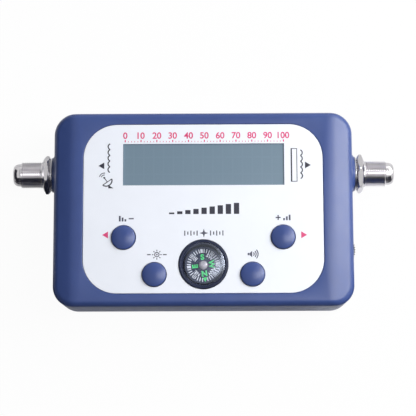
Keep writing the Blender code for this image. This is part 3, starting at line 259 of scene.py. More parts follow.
# Cards that show only in reflections: leaning ones by their corners, level ones by X and Y limits and height
LEANING_CARDS = {
    "front_card": [(-1.1, -0.60, 0.86), (1.1, -0.60, 0.86), (1.1, -0.95, 0.02), (-1.1, -0.95, 0.02)],
    "left_card": [(-0.62, -0.6, 0.85), (-0.62, 0.9, 0.85), (-0.95, 0.9, 0.02), (-0.95, -0.6, 0.02)],
}
LEVEL_CARDS = {
    "camera_card": (-0.12, 0.11, -0.20, 0.45, 0.75),
    # The three mats on the floor are painted shadow: dark sheets for the shaded floor around the case, seen
    # only in reflections.
    "front_floor_shadow_mat": (-0.30, 0.30, -0.33, -0.043, -0.0002),
    "left_floor_shadow_mat": (-0.30, -0.056, -0.043, -0.020, -0.0002),
    "right_floor_shadow_mat": (0.056, 0.30, -0.043, -0.020, -0.0002),
}
FLOOR_HALF = 3.0
FLOOR_Z = -0.0003
FLOOR_WHITE = 0.96
FLOOR_MIRRORED = 0.22
WORLD_MIRRORED = 0.9
WORLD_FILL = 0.10

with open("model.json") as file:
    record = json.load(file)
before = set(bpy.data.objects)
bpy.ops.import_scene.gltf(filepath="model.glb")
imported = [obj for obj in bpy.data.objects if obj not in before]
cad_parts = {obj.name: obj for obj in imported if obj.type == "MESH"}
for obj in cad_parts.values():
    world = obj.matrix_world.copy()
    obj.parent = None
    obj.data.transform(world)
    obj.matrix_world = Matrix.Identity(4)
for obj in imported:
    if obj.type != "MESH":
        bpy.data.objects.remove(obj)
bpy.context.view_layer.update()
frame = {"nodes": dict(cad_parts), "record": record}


# Node materials


def node_tree(name):
    made = bpy.data.materials.new(name)
    made.use_nodes = True
    made.node_tree.nodes.clear()
    return made, made.node_tree


def add_node(tree, kind, *numbered, **named):
    """Node whose inputs, by number or by name, take plain values or the outputs of other nodes."""
    node = tree.nodes.new(kind)
    inputs = list(enumerate(numbered))
    inputs.extend((name.replace("_", " "), value) for name, value in named.items())
    for key, value in inputs:
        if isinstance(value, bpy.types.NodeSocket):
            tree.links.new(value, node.inputs[key])
        else:
            node.inputs[key].default_value = value
    return node


def math_node(tree, operation, first, second):
    node = add_node(tree, "ShaderNodeMath", first, second)
    node.operation = operation
    return node.outputs[0]


def noise(tree, scale, detail=2.0, stretch=(1, 1, 1)):
    """Noise over the object's own coordinates."""
    place = tree.nodes.new("ShaderNodeTexCoord").outputs["Object"]
    mapped = add_node(tree, "ShaderNodeMapping", Vector=place, Scale=stretch).outputs[0]
    return add_node(tree, "ShaderNodeTexNoise", Vector=mapped, Scale=scale, Detail=detail).outputs[0]


def spread(tree, source, low, high):
    """Map the middle of a noise to a range of values."""
    limits = {"From_Min": 0.3, "From_Max": 0.7, "To_Min": low, "To_Max": high}
    return add_node(tree, "ShaderNodeMapRange", Value=source, **limits).outputs[0]


def mixed_colour(tree, share, low, high):
    node = add_node(tree, "ShaderNodeMix", share)
    node.data_type = "RGBA"
    node.inputs[6].default_value = (*low, 1)
    node.inputs[7].default_value = (*high, 1)
    return node.outputs[2]


def bump(tree, scale, strength, depth, stretch=(1, 1, 1)):
    grain = noise(tree, scale, 2.0, stretch)
    return add_node(tree, "ShaderNodeBump", Strength=strength, Distance=depth, Height=grain).outputs[0]


def mixed_output(tree, share, first, second, kind="ShaderNodeOutputMaterial"):
    """Show a mix of two shaders."""
    mix = add_node(tree, "ShaderNodeMixShader", share, first.outputs[0], second.outputs[0])
    add_node(tree, kind, Surface=mix.outputs[0])


def surface_material(
    name, colour, roughness, metallic=0.0, variation=0.06, patch_scale=90.0,
    grain_scale=2600.0, grain_depth=0.00002, grain_stretch=(1, 1, 1), specular=0.5,
):
    """Moulded, plated or printed surface: slow colour changes, uneven gloss and a fine grain."""
    made, tree = node_tree(name)
    low = [c * (1 - variation) for c in colour]
    high = [min(c * (1 + variation), 1.0) for c in colour]
    patches = spread(tree, noise(tree, patch_scale, 3.0), 0.0, 1.0)
    shader = add_node(
        tree,
        "ShaderNodeBsdfPrincipled",
        Base_Color=mixed_colour(tree, patches, low, high),
        Metallic=metallic,
        Roughness=spread(tree, noise(tree, patch_scale * 4), roughness * 0.92, roughness * 1.08),
        Specular_IOR_Level=specular,
        Normal=bump(tree, grain_scale, 0.5, grain_depth, grain_stretch),
    )
    add_node(tree, "ShaderNodeOutputMaterial", Surface=shader.outputs[0])
    return made


def clear_material(name, tint, gleam, haze, roughness, index):
    """Clear plastic or glass: light goes through it, and only its outside mirrors a little."""
    made, tree = node_tree(name)
    through = add_node(tree, "ShaderNodeBsdfTransparent", Color=(*tint, 1))
    smudges = spread(tree, noise(tree, 260.0), roughness, roughness + haze)
    mirror = add_node(tree, "ShaderNodeBsdfGlossy", Color=(*gleam, 1), Roughness=smudges)
    fresnel = add_node(tree, "ShaderNodeFresnel", IOR=index).outputs[0]
    back = tree.nodes.new("ShaderNodeNewGeometry").outputs["Backfacing"]
    share = math_node(tree, "MULTIPLY", fresnel, math_node(tree, "LESS_THAN", back, 0.5))
    mixed_output(tree, share, through, mirror)
    return made


def display_material(name, colour, gloss=(0.38, 0.46), seen_through=0.0):
    """Grey display film with a hardly visible grid of character cells."""
    made, tree = node_tree(name)
    cells = add_node(
        tree,
        "ShaderNodeTexBrick",
        Vector=tree.nodes.new("ShaderNodeTexCoord").outputs["Object"],
        Color1=(0, 0, 0, 1),
        Color2=(0, 0, 0, 1),
        Mortar=(1, 1, 1, 1),
        Scale=1.0,
        Brick_Width=0.00355,
        Row_Height=0.0062,
        Mortar_Size=0.00035,
        Mortar_Smooth=0.3,
    )
    cells.offset = 0.0
    low = [c * 0.985 for c in colour]
    high = [c * 1.01 for c in colour]
    shader = add_node(
        tree,
        "ShaderNodeBsdfPrincipled",
        Base_Color=mixed_colour(tree, cells.outputs[0], low, high),
        Roughness=spread(tree, noise(tree, 120.0), *gloss),
        Normal=bump(tree, 5000.0, 0.4, 0.00001),
    )
    through = add_node(tree, "ShaderNodeBsdfTransparent", Color=(0.97, 0.97, 0.98, 1))
    mixed_output(tree, seen_through, shader, through)
    return made


SLOT_LOOKS = {
    "case_blue": surface_material("case_blue_grained", (0.039, 0.072, 0.237), 0.36, variation=0.05),
    "button_blue": surface_material("button_blue_grained", (0.036, 0.067, 0.230), 0.33, variation=0.04),
    "label_white": surface_material(
        "label_film", (0.852, 0.885, 0.965), 0.45, variation=0.012, grain_scale=4200.0, grain_depth=0.00001
    ),
    "display_grey": display_material("display_film", (0.172, 0.242, 0.300)),
    "clear_glass": clear_material("display_glass", (0.93, 0.96, 0.95), (1, 1, 1), 0.05, 0.03, 1.49),
    "clear_lens": clear_material("lens_acrylic", (0.97, 0.98, 1.0), (0.74, 0.82, 1.0), 0.01, 0.20, 1.70),
    "light_guide": surface_material("light_guide_acrylic", (0.82, 0.85, 0.84), 0.30),
    "black_plastic": surface_material("black_moulding", (0.008, 0.014, 0.045), 0.34, specular=0.35),
    "card_black": surface_material("card_black_print", (0.006, 0.014, 0.046), 0.45),
    "soft_grey": surface_material("grey_rubber", (0.20, 0.20, 0.21), 0.70, variation=0.10),
    "nickel": surface_material(
        "nickel_plate", (0.62, 0.605, 0.625), 0.15, 1.0, 0.04, 300.0, grain_scale=1800.0, grain_depth=0.000006
    ),
    "spring_steel": surface_material(
        "zinc_plated_steel", (0.55, 0.55, 0.57), 0.28, 1.0, 0.07, 250.0, grain_stretch=(0.15, 1, 1)
    ),
    "brass": surface_material(
        "turned_brass", (0.68, 0.50, 0.22), 0.28, metallic=1.0, grain_stretch=(1, 1, 6)
    ),
    "insulator_white": surface_material("insulator_moulding", (0.80, 0.78, 0.72), 0.42),
    "board_green": surface_material(
        "solder_mask", (0.02, 0.16, 0.07), 0.36, variation=0.12, patch_scale=500.0
    ),
    "tin_plate": surface_material("tin_plate_sheet", (0.66, 0.67, 0.69), 0.32, metallic=1.0, variation=0.10),
    "magnet_dark": surface_material(
        "sintered_magnet", (0.07, 0.07, 0.08), 0.5, metallic=0.5, variation=0.15
    ),
    "led_white": surface_material("led_moulding", (0.85, 0.85, 0.78), 0.35),
}
DISPLAY_WINDOW = display_material("display_window_film", (0.234, 0.336, 0.427), (0.24, 0.27), 0.35)
RING_BLACK = surface_material("wheel_black", (0.016, 0.018, 0.030), 0.42)
HUB_METAL = surface_material("hub_plate", (0.54, 0.50, 0.53), 0.38, metallic=0.2, variation=0.08)
INK_NAVY = surface_material("navy_ink", (0.012, 0.012, 0.028), 0.42, variation=0.10)
INK_GREY = surface_material("grey_ink", (0.060, 0.062, 0.100), 0.42, variation=0.10)
INK_PINK = surface_material("pink_ink", (0.68, 0.055, 0.19), 0.42, variation=0.05)
DIAL_WHITE = surface_material("dial_white_ink", (0.88, 0.90, 0.95), 0.45)
DIAL_GREEN = surface_material("dial_green_ink", (0.08, 0.86, 0.24), 0.45)


# Mesh building


def polar(centre, radius, angle):
    return (centre[0] + radius * math.cos(angle), centre[1] + radius * math.sin(angle))


def arc(centre, radius, start, end, steps):
    """Points along an arc, angles in degrees."""
    angles = [math.radians(start + (end - start) * step / steps) for step in range(steps + 1)]
    return [polar(centre, radius, angle) for angle in angles]


def raised(outline, height):
    return [(x, y, height) for x, y in outline]


def mesh_from(shape, sharp=SHARP):
    bmesh.ops.recalc_face_normals(shape, faces=shape.faces)
    mesh = bpy.data.meshes.new("part")
    shape.to_mesh(mesh)
    shape.free()
    mesh.shade_smooth()
    mesh.set_sharp_from_angle(angle=math.radians(sharp))
    return mesh


def skin(shape, rings, closed=False):
    """Faces between rings of vertices, any of which may be a single point."""
    for ring, following in zip(rings, rings[1:] + rings[:1] if closed else rings[1:]):
        count = max(len(ring), len(following))
        for index in range(count):
            after = (index + 1) % count
            corners = [ring[index % len(ring)], ring[after % len(ring)]]
            corners += [following[after % len(following)], following[index % len(following)]]
            shape.faces.new(list(dict.fromkeys(corners)))


def lofted(loops, closed=False):
    """Solid through loops of equally many points; the end loops are capped unless it closes on itself."""
    shape = bmesh.new()
    rings = [[shape.verts.new(point) for point in loop] for loop in loops]
    skin(shape, rings, closed)
    if not closed:
        shape.faces.new(rings[0])
        shape.faces.new(rings[-1])
    return shape


def turned(profile, segments, centre=(0.0, 0.0), ring=False, radius_at=None):
    """Solid of revolution about Z from (radius, height) points."""
    shape = bmesh.new()
    rows = []
    for radius, height in profile:
        if radius == 0:
            rows.append([shape.verts.new((centre[0], centre[1], height))])
            continue
        row = []
        for index in range(segments):
            angle = 2 * math.pi * index / segments
            reach = radius_at(radius, height, angle) if radius_at else radius
            row.append(shape.verts.new((*polar(centre, reach, angle), height)))
        rows.append(row)
    skin(shape, rows, ring)
    return shape


def cylinder(radius, low, high, segments, centre=(0.0, 0.0)):
    return turned([(0, low), (radius, low), (radius, high), (0, high)], segments, centre)


def cylinders(places, radius, low, high, segments=POST_CIRCLE):
    return [cylinder(radius, low, high, segments, place) for place in places]


def prism(outline, low, high):
    return lofted([raised(outline, low), raised(outline, high)])


def rectangle(half_x, half_y, centre=(0.0, 0.0)):
    x, y = centre
    signs = ((-1, -1), (1, -1), (1, 1), (-1, 1))
    return [(x + sign_x * half_x, y + sign_y * half_y) for sign_x, sign_y in signs]


def merged(*shapes):
    """One bmesh that holds several separate shapes."""
    whole = bmesh.new()
    for shape in shapes:
        mesh = bpy.data.meshes.new("part")
        shape.to_mesh(mesh)
        shape.free()
        whole.from_mesh(mesh)
        bpy.data.meshes.remove(mesh)
    return whole


def welded(mesh):
    shape = bmesh.new()
    shape.from_mesh(mesh)
    bmesh.ops.remove_doubles(shape, verts=shape.verts, dist=WELD_DISTANCE)
    bmesh.ops.dissolve_degenerate(shape, edges=shape.edges, dist=WELD_DISTANCE)
    shape.to_mesh(mesh)
    shape.free()
    return mesh


def evaluated_mesh(made):
    """Mesh of an object with its modifiers or its text, whose helper object is then removed."""
    bpy.context.view_layer.update()
    mesh = bpy.data.meshes.new_from_object(made.evaluated_get(bpy.context.evaluated_depsgraph_get()))
    bpy.data.objects.remove(made, do_unlink=True)
    return mesh


def linked_object(name, data):
    made = bpy.data.objects.new(name, data)
    bpy.context.scene.collection.objects.link(made)
    return made


def carved(base, steps):
    """Mesh of a base shape after (operation, shape) Boolean steps."""
    mesh = mesh_from(base)
    for operation, shape in steps:
        target = linked_object("carve_base", mesh)
        tool = linked_object("carve_tool", mesh_from(shape))
        modifier = target.modifiers.new("step", "BOOLEAN")
        modifier.operation = operation
        modifier.solver = "EXACT"
        modifier.object = tool
        mesh = welded(evaluated_mesh(target))
        bpy.data.objects.remove(tool, do_unlink=True)
    mesh.shade_smooth()
    mesh.set_sharp_from_angle(angle=math.radians(SHARP_CARVED))
    return mesh


def piece(name, mesh, body, slot, *stands_for, look=None):
    """Add one finished piece that rides on a body, in the look of its slot unless it has its own."""
    mesh.name = name
    mesh.materials.clear()
    mesh.materials.append(look or SLOT_LOOKS[slot])
    made = linked_object(name, mesh)
    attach(made, body)
    if stands_for:
        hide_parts(*stands_for)


# Case shells


def slope_drop(x):
    """How far the front face has fallen at x, with a soft start to each end slope."""
    beyond = abs(x) - (SLOPE_START - SLOPE_BLEND)
    if beyond <= 0:
        return 0.0
    if beyond < 2 * SLOPE_BLEND:
        return math.tan(SLOPE_ANGLE) * beyond * beyond / (4 * SLOPE_BLEND)
    return math.tan(SLOPE_ANGLE) * (beyond - SLOPE_BLEND)


def upper_outline(inset):
    radius = CORNER_RADIUS - inset
    centre_x = HALF_LENGTH - CORNER_RADIUS
    centre_y = HALF_WIDTH - CORNER_RADIUS
    edge_y = HALF_WIDTH - inset
    first = SLOPE_START - SLOPE_BLEND
    columns = [first + (centre_x - first) * k / BLEND_COLUMNS for k in range(BLEND_COLUMNS)]
    points = arc((-centre_x, centre_y), radius, 180, 90, CORNER_STEPS)
    points.extend((-x, edge_y) for x in reversed(columns))
    points.extend((x, edge_y) for x in columns)
    points += arc((centre_x, centre_y), radius, 90, 0, CORNER_STEPS)
    return points


def case_block(wall, front, back, edge, steps):
    """Case form drawn in by its walls, with rounded front and back edges, as strips across Y."""
    rounding = [(edge - x, edge - y) for x, y in arc((0, 0), edge, 0, 90, steps)]
    rings = []
    for inset, drop in reversed(rounding):
        rings.append((wall + inset, lambda x, drop=drop: back + drop))
    for inset, drop in rounding:
        rings.append((wall + inset, lambda x, drop=drop: CASE_HEIGHT - front - drop - slope_drop(x)))
    shape = bmesh.new()
    loops = []
    for inset, height in rings:
        upper = [shape.verts.new((x, y, height(x))) for x, y in upper_outline(inset)]
        lower = [shape.verts.new((x, -y, height(x))) for x, y in upper_outline(inset)]
        loops.append((upper, lower))
    for upper, lower in (loops[0], loops[-1]):
        for index in range(len(upper) - 1):
            shape.faces.new((lower[index], lower[index + 1], upper[index + 1], upper[index]))
    skin(shape, [lower + upper[::-1] for upper, lower in loops])
    return shape


def to_side(shape, side):
    """Turn a shape made along +Z so that it points out of the case side at -X or +X."""
    for vertex in shape.verts:
        x, y, z = vertex.co
        vertex.co = Vector((side * (HALF_LENGTH + z), CONNECTOR_Y + side * x, CONNECTOR_Z + y))
    return shape


def connector_boss(side):
    """Cone with a hollow flank and a rounded rim, which the washer seats on."""
    foot = BOSS_RADIUS + BOSS_FLARE
    profile = [(0, -SIDE_WALL / 2), (foot, -SIDE_WALL / 2), (foot, 0)]
    for step in range(1, BOSS_STEPS):
        share = step / BOSS_STEPS
        profile.append((foot - BOSS_FLARE * share, (BOSS_HEIGHT - BOSS_RIM) * share ** BOSS_HOLLOW))
    profile += arc((BOSS_RADIUS - BOSS_RIM, BOSS_HEIGHT - BOSS_RIM), BOSS_RIM, 0, 90, 4)
    profile.append((0, BOSS_HEIGHT))
    return to_side(turned(profile, HOLE_CIRCLE), side)


def connector_bore(side):
    """Hole for the thread with the flange's seat inside the wall."""
    seat = FLANGE_RADIUS + 2 * SIDE_GAP
    deep = -(SIDE_WALL + FLANGE_THICKNESS + SIDE_GAP + OVERRUN)
    step = FLANGE_SEAT_DEPTH - SIDE_WALL
    outer = BOSS_HEIGHT + OVERRUN
    profile = [(0, deep), (seat, deep), (seat, step), (THREAD_HOLE, step), (THREAD_HOLE, outer), (0, outer)]
    return to_side(turned(profile, HOLE_CIRCLE), side)


def label_outline(grown):
    half_x, half_y, radius = LABEL_HALF_X + grown, LABEL_HALF_Y + grown, LABEL_CORNER + grown
    points = []
    for side_x, side_y, start in ((1, 1, 0), (-1, 1, 90), (-1, -1, 180), (1, -1, 270)):
        corner = (side_x * (half_x - radius), side_y * (half_y - radius))
        points += arc(corner, radius, start, start + 90, LABEL_CORNER_STEPS)
    return points


def window_outline(grown):
    return rectangle(WINDOW_HALF_X + grown, WINDOW_HALF_Y + grown, WINDOW_PLACE)


def label_recess():
    """Recess whose upper edge is rounded outward."""
    levels = [(0.0, RECESS_Z)]
    for across, up in arc((0, 0), RECESS_ROUND, 0, 90, 5):
        levels.append((RECESS_ROUND - across, CASE_HEIGHT - RECESS_ROUND + up))
    levels.append((RECESS_ROUND, CASE_HEIGHT + OVERRUN))
    return lofted([raised(label_outline(SIDE_GAP + grown), height) for grown, height in levels])


def compass_well():
    inner = COMPASS_RADIUS + SIDE_GAP
    low = BOARD_TOP_Z + SIDE_GAP
    floor = low + WELL_FLOOR
    top = CASE_HEIGHT + OVERRUN
    profile = [(0, low - OVERRUN), (WELL_FLOOR_HOLE, low - OVERRUN), (WELL_FLOOR_HOLE, floor)]
    profile += [(inner, floor), (inner, top), (0, top)]
    return turned(profile, CIRCLE, COMPASS_PLACE)


def wall_posts(places, radius, low):
    """Posts that run into the front wall, which falls towards the ends of the case."""
    return cylinders(places, radius, low, POST_TOP_Z - slope_drop(abs(places[0][0]) + radius))


def case_half(name, node, low, high, before, after):
    """Half of the hollow case with its side bosses, cut at the parting between two sets of steps."""
    reach_x = HALF_LENGTH + BOSS_HEIGHT + OVERRUN
    steps = [
        ("UNION", merged(connector_boss(-1), connector_boss(1))),
        ("DIFFERENCE", case_block(SIDE_WALL, FRONT_WALL, BACK_WALL, INNER_ROUND, INNER_ROUND_STEPS)),
        *before,
        ("INTERSECT", prism(rectangle(reach_x, HALF_WIDTH + OVERRUN), low, high)),
        *after,
    ]
    mesh = carved(case_block(0.0, 0.0, 0.0, EDGE_ROUND, ROUND_STEPS), steps)
    piece(name, mesh, "meter", "case_blue", node)


def front_shell():
    bottom = PARTING_Z + PARTING_GAP / 2
    above = CASE_HEIGHT + OVERRUN
    post_low = BOARD_TOP_Z + SIDE_GAP
    bosses = wall_posts(CASE_CORNERS, CASE_BOSS_RADIUS, bottom - OVERRUN)
    posts = wall_posts(BOARD_CORNERS, BOARD_POST_RADIUS, post_low)
    well = COMPASS_RADIUS + SIDE_GAP + WELL_WALL
    posts.append(cylinder(well, post_low, CASE_HEIGHT - FRONT_WALL / 2, CIRCLE, COMPASS_PLACE))
    cuts = cylinders(CASE_CORNERS, SCREW_RADIUS + SIDE_GAP, bottom - 2 * OVERRUN, PILOT_TOP_CASE)
    cuts += cylinders(BOARD_CORNERS, BOARD_SCREW_RADIUS + SIDE_GAP, BOARD_TOP_Z - OVERRUN, PILOT_TOP_BOARD)
    slot_radius = WHEEL_RADIUS + WHEEL_SLOT_GAP
    cuts.append(cylinder(slot_radius, WHEEL_BOTTOM - SIDE_GAP, WHEEL_TOP + SIDE_GAP, CIRCLE, WHEEL_PLACE))
    cuts += [label_recess(), connector_bore(-1), connector_bore(1)]
    openings = [prism(window_outline(0.0), ROOF_Z - OVERRUN, above), compass_well()]
    openings += cylinders(BUTTON_PLACES.values(), BUTTON_HOLE, ROOF_Z - OVERRUN, above, HOLE_CIRCLE)
    after = [
        ("UNION", merged(*posts)),
        ("DIFFERENCE", merged(*cuts)),
        ("DIFFERENCE", merged(*openings)),
    ]
    case_half("front_case", "front_shell", bottom, above, [("UNION", merged(*bosses))], after)


def lip_ring(outer_inset, inner_inset, low, high):
    loops = []
    for inset, height in ((outer_inset, low), (outer_inset, high), (inner_inset, high), (inner_inset, low)):
        upper = upper_outline(inset)
        loops.append(raised([(x, -y) for x, y in upper] + upper[::-1], height))
    return lofted(loops, closed=True)


def counterbore(centre):
    """Screw head's bore with a small chamfer at the back face."""
    bore = SCREW_HEAD_RADIUS + SIDE_GAP
    wide = bore + COUNTERBORE_CHAMFER
    profile = [(0, -OVERRUN), (wide, -OVERRUN), (wide, 0), (bore, COUNTERBORE_CHAMFER)]
    hole = SCREW_RADIUS + SIDE_GAP
    above = PARTING_Z + OVERRUN
    profile += [(bore, COUNTERBORE_DEPTH), (hole, COUNTERBORE_DEPTH), (hole, above), (0, above)]
    return turned(profile, POST_CIRCLE, centre)


def back_shell():
    top = PARTING_Z - PARTING_GAP / 2
    above = top + OVERRUN
    outer = SIDE_WALL + SIDE_GAP
    inner = outer + LIP_WIDTH
    lip_top = PARTING_Z + LIP_HEIGHT
    columns = cylinders(CASE_CORNERS, CASE_COLUMN_RADIUS, BACK_WALL / 2, above)
    reliefs = cylinders(CASE_CORNERS, CASE_BOSS_RADIUS + SIDE_GAP, PARTING_Z, lip_top + OVERRUN)
    cuts = [counterbore(centre) for centre in CASE_CORNERS] + [connector_bore(-1), connector_bore(1)]
    before = [
        ("UNION", lip_ring(SIDE_WALL / 2, inner + LIP_ROOT_SPREAD, top - LIP_ROOT, above)),
        ("UNION", merged(*columns)),
    ]
    after = [
        ("UNION", lip_ring(outer, inner, top - LIP_ROOT / 2, lip_top)),
        ("DIFFERENCE", merged(*reliefs)),
        ("DIFFERENCE", merged(*cuts)),
    ]
    case_half("back_case", "back_shell", -OVERRUN, top, before, after)


# Label and its marks


def film(outline, grown, low, high):
    """Thin sheet with a fine chamfer around its top."""
    levels = ((grown, low), (grown, high - LABEL_EDGE), (grown - LABEL_EDGE, high))
    return lofted([raised(outline(width), height) for width, height in levels])


def flared_hole(radius, centre, segments):
    """Round cutter through the label with a fine chamfer at the top."""
    low = LABEL_BOTTOM - OVERRUN
    high = LABEL_TOP + OVERRUN
    wide = radius + LABEL_EDGE
    profile = [(0, low), (radius, low), (radius, LABEL_TOP - LABEL_EDGE), (wide, LABEL_TOP), (wide, high)]
    return turned(profile + [(0, high)], segments, centre)


def face_label():
    cuts = [prism(window_outline(WINDOW_MARGIN), LABEL_BOTTOM - OVERRUN, LABEL_TOP + OVERRUN)]
    cuts.extend(flared_hole(BUTTON_HOLE, centre, HOLE_CIRCLE) for centre in BUTTON_PLACES.values())
    cuts.append(flared_hole(COMPASS_RADIUS + COMPASS_LABEL_GAP, COMPASS_PLACE, CIRCLE))
    sheet = film(label_outline, LABEL_SPREAD, LABEL_BOTTOM, LABEL_TOP)
    mesh = carved(sheet, [("DIFFERENCE", merged(*cuts))])
    piece("face_film", mesh, "meter", "label_white", "face_label")


def display_window():
    """Tinted film that fills the label's opening over the display."""
    sheet = film(window_outline, WINDOW_FILM_SPREAD, WINDOW_FILM_BOTTOM, WINDOW_FILM_TOP)
    piece("display_window", mesh_from(sheet), "meter", "clear_glass", look=DISPLAY_WINDOW)


class Ink:
    """Flat printed marks of one colour, as thin solids; each mark is drawn about its own centre."""

    def __init__(self, low, high):
        self.low = low
        self.high = high
        self.shapes = []
        self.at((0.0, 0.0))

    def at(self, centre, turn=0.0):
        """Set the centre and turn of the marks that follow."""
        self.centre = centre
        self.turn = turn
        return self

    def placed(self, point):
        x, y = point
        cos = math.cos(self.turn)
        sin = math.sin(self.turn)
        return (self.centre[0] + x * cos - y * sin, self.centre[1] + x * sin + y * cos)

    def area(self, outline):
        self.shapes.append(prism([self.placed(point) for point in outline], self.low, self.high))

    def bar(self, half_x, half_y, x=0.0, y=0.0):
        self.area(rectangle(half_x, half_y, (x, y)))

    def line(self, points, width):
        """Stroke of even width along a line of points."""
        left = []
        right = []
        for index, (x, y) in enumerate(points):
            before = points[max(index - 1, 0)]
            after = points[min(index + 1, len(points) - 1)]
            along = Vector((after[0] - before[0], after[1] - before[1])).normalized()
            left.append((x - along.y * width / 2, y + along.x * width / 2))
            right.append((x + along.y * width / 2, y - along.x * width / 2))
        self.area(right + left[::-1])

    def disc(self, point, radius, segments=MARK_CIRCLE):
        self.shapes.append(cylinder(radius, self.low, self.high, segments, self.placed(point)))

    def ring(self, point, outer, inner):
        profile = [(outer, self.low), (outer, self.high), (inner, self.high), (inner, self.low)]
        self.shapes.append(turned(profile, MARK_CIRCLE, self.placed(point), ring=True))

    def text(self, words, height, point, weight, turn=0.0):
        """Figures or compass letters of a given height, centred on a point."""
        curve = bpy.data.curves.new("figure", "FONT")
        curve.body = words
        curve.align_x = "CENTER"
        curve.offset = weight
        curve.extrude = 0.5
        mesh = evaluated_mesh(linked_object("figure", curve))
        xs = [v.co.x for v in mesh.vertices]
        ys = [v.co.y for v in mesh.vertices]
        middle = Vector(((min(xs) + max(xs)) / 2, (min(ys) + max(ys)) / 2, 0))
        scale = height / (max(ys) - min(ys))
        flat = Matrix.Diagonal((scale, scale, self.high - self.low, 1))
        place = Matrix.Translation((*self.placed(point), (self.low + self.high) / 2))
        mesh.transform(place @ Matrix.Rotation(self.turn + turn, 4, "Z") @ flat @ Matrix.Translation(-middle))
        shape = bmesh.new()
        shape.from_mesh(mesh)
        bpy.data.meshes.remove(mesh)
        self.shapes.append(shape)

    def mesh(self):
        return mesh_from(merged(*self.shapes))


def level_scale(ink):
    """Scale from 0 to 100 over the display."""
    pitch = 0.0057
    for index in range(11):
        x = (index - 5) * pitch
        ink.text(str(index * 10), 0.0024, (x, 0.0022), 0.02)
        ink.bar(0.0002, 0.0004, x, 0.0002)
        if index < 10:
            for part in range(1, 5):
                ink.bar(0.00011, 0.00022, x + pitch * part / 5)


def arrow_mark(ink, half_width, direction):
    tip = direction * 0.00105
    ink.area([(tip, 0), (-tip, direction * half_width), (-tip, -direction * half_width)])


def dish_mark(ink, centre):
    """Dish with its feed, its foot and two waves."""
    tip = (0, 0.0024)
    bowl = arc((0, 0.0012), 0.0021, 200, 340, 18)
    ink.at(centre).area([(0.0001, -0.0007), (0.0020, -0.0019), (0.0001, -0.0019)])
    ink.at(centre, math.radians(35))
    ink.line(bowl, 0.00042)
    ink.line([bowl[0], bowl[-1]], 0.00028)
    ink.line([(0, 0.0005), (0, 0.0022)], 0.00030)
    ink.disc(tip, 0.00034)
    for radius in (0.0010, 0.0017):
        ink.line(arc(tip, radius, 45, 135, 10), 0.00030)


def receiver_mark(ink):
    """Front of a receiver box: a frame with one heavy side."""
    half_x = 0.00098
    half_y = 0.0061
    thin = 0.00013
    ink.bar(0.00025, half_y, -half_x)
    ink.bar(thin, half_y, half_x)
    ink.bar(half_x, thin, 0.0, thin - half_y)
    ink.bar(half_x, thin, 0.0, half_y - thin)


def wave_mark(ink, direction):
    """Column of signal waves beside an arrow."""
    for step in range(-2, 3):
        wave = arc((0, step * 0.0021), 0.0011, -68, 68, 8)
        ink.line([(direction * x - 0.0006, y) for x, y in wave], 0.00042)


def bars_mark(ink):
    """Signal bars that rise to the right."""
    for index in range(9):
        half = 0.0003 + 0.0017 * index / 8
        ink.bar(0.00095, half, (index - 4) * 0.0029, half)


def step_mark(ink, direction):
    """Minus or plus sign with falling or rising steps."""
    ink.bar(0.0009, 0.00022, -direction * 0.0017)
    if direction > 0:
        ink.bar(0.00022, 0.0009, -direction * 0.0017)
    for index in range(3):
        half = 0.0004 + 0.0003 * index
        ink.bar(0.00032, half, direction * (0.0004 + 0.0010 * index), half - 0.0010)


def lamp_mark(ink):
    ink.ring((0, 0), 0.00095, 0.00062)
    ink.disc((0, 0), 0.00030, 16)
    for index in range(8):
        ink.line([polar((0, 0), reach, math.pi * index / 4) for reach in (0.00120, 0.00175)], 0.00032)
    for side in (-1, 1):
        ink.line([(side * 0.0022, 0), (side * 0.0035, 0)], 0.00038)


def sounder_mark(ink):
    ink.bar(0.00035, 0.0004, -0.00185)
    ink.area([(-0.0014, -0.00045), (-0.0006, -0.00115), (-0.0006, 0.00115), (-0.0014, 0.00045)])
    for radius in (0.0009, 0.0016, 0.0023):
        ink.line(arc((-0.0008, 0), radius, -42, 42, 10), 0.00036)


def star_mark(ink):
    """Compass star with a short scale on each side."""
    reaches = [0.0016, 0.00052] * 4
    ink.area([polar((0, 0), reach, (index + 2) * math.pi / 4) for index, reach in enumerate(reaches)])
    for side in (-1, 1):
        for step in range(5):
            ink.bar(0.00020, 0.00055 if step % 2 else 0.0009, side * (0.0024 + step * 0.0011))


def label_marks():
    navy, grey, pink = (Ink(PRINT_LOW, PRINT_HIGH) for colour in range(3))
    level_scale(pink.at((0.0005, 0.0243)))
    arrow_mark(pink.at((-0.0350, -0.00957)), 0.00125, -1)
    arrow_mark(pink.at((0.0360, -0.00978)), 0.00125, 1)
    arrow_mark(navy.at((-0.03655, 0.0155)), 0.00122, -1)
    arrow_mark(navy.at((0.03768, 0.0155)), 0.00122, 1)
    dish_mark(navy, (-0.0341, 0.0092))
    receiver_mark(navy.at((0.03275, 0.01555)))
    wave_mark(navy.at((-0.03245, 0.0183)), -1)
    wave_mark(navy.at((0.0352, 0.0158)), 1)
    bars_mark(navy.at((0.00035, -0.00215)))
    step_mark(grey.at((-0.0274, -0.00372)), -1)
    step_mark(grey.at((0.0285, -0.00352)), 1)
    lamp_mark(grey.at((-0.01652, -0.01670)))
    sounder_mark(grey.at((0.01802, -0.01662)))
    star_mark(grey.at((0.00023, -0.00902)))
    for name, ink, look in (("navy", navy, INK_NAVY), ("grey", grey, INK_GREY), ("pink", pink, INK_PINK)):
        piece(f"{name}_marks", ink.mesh(), "meter", "label_white", look=look)


# Buttons


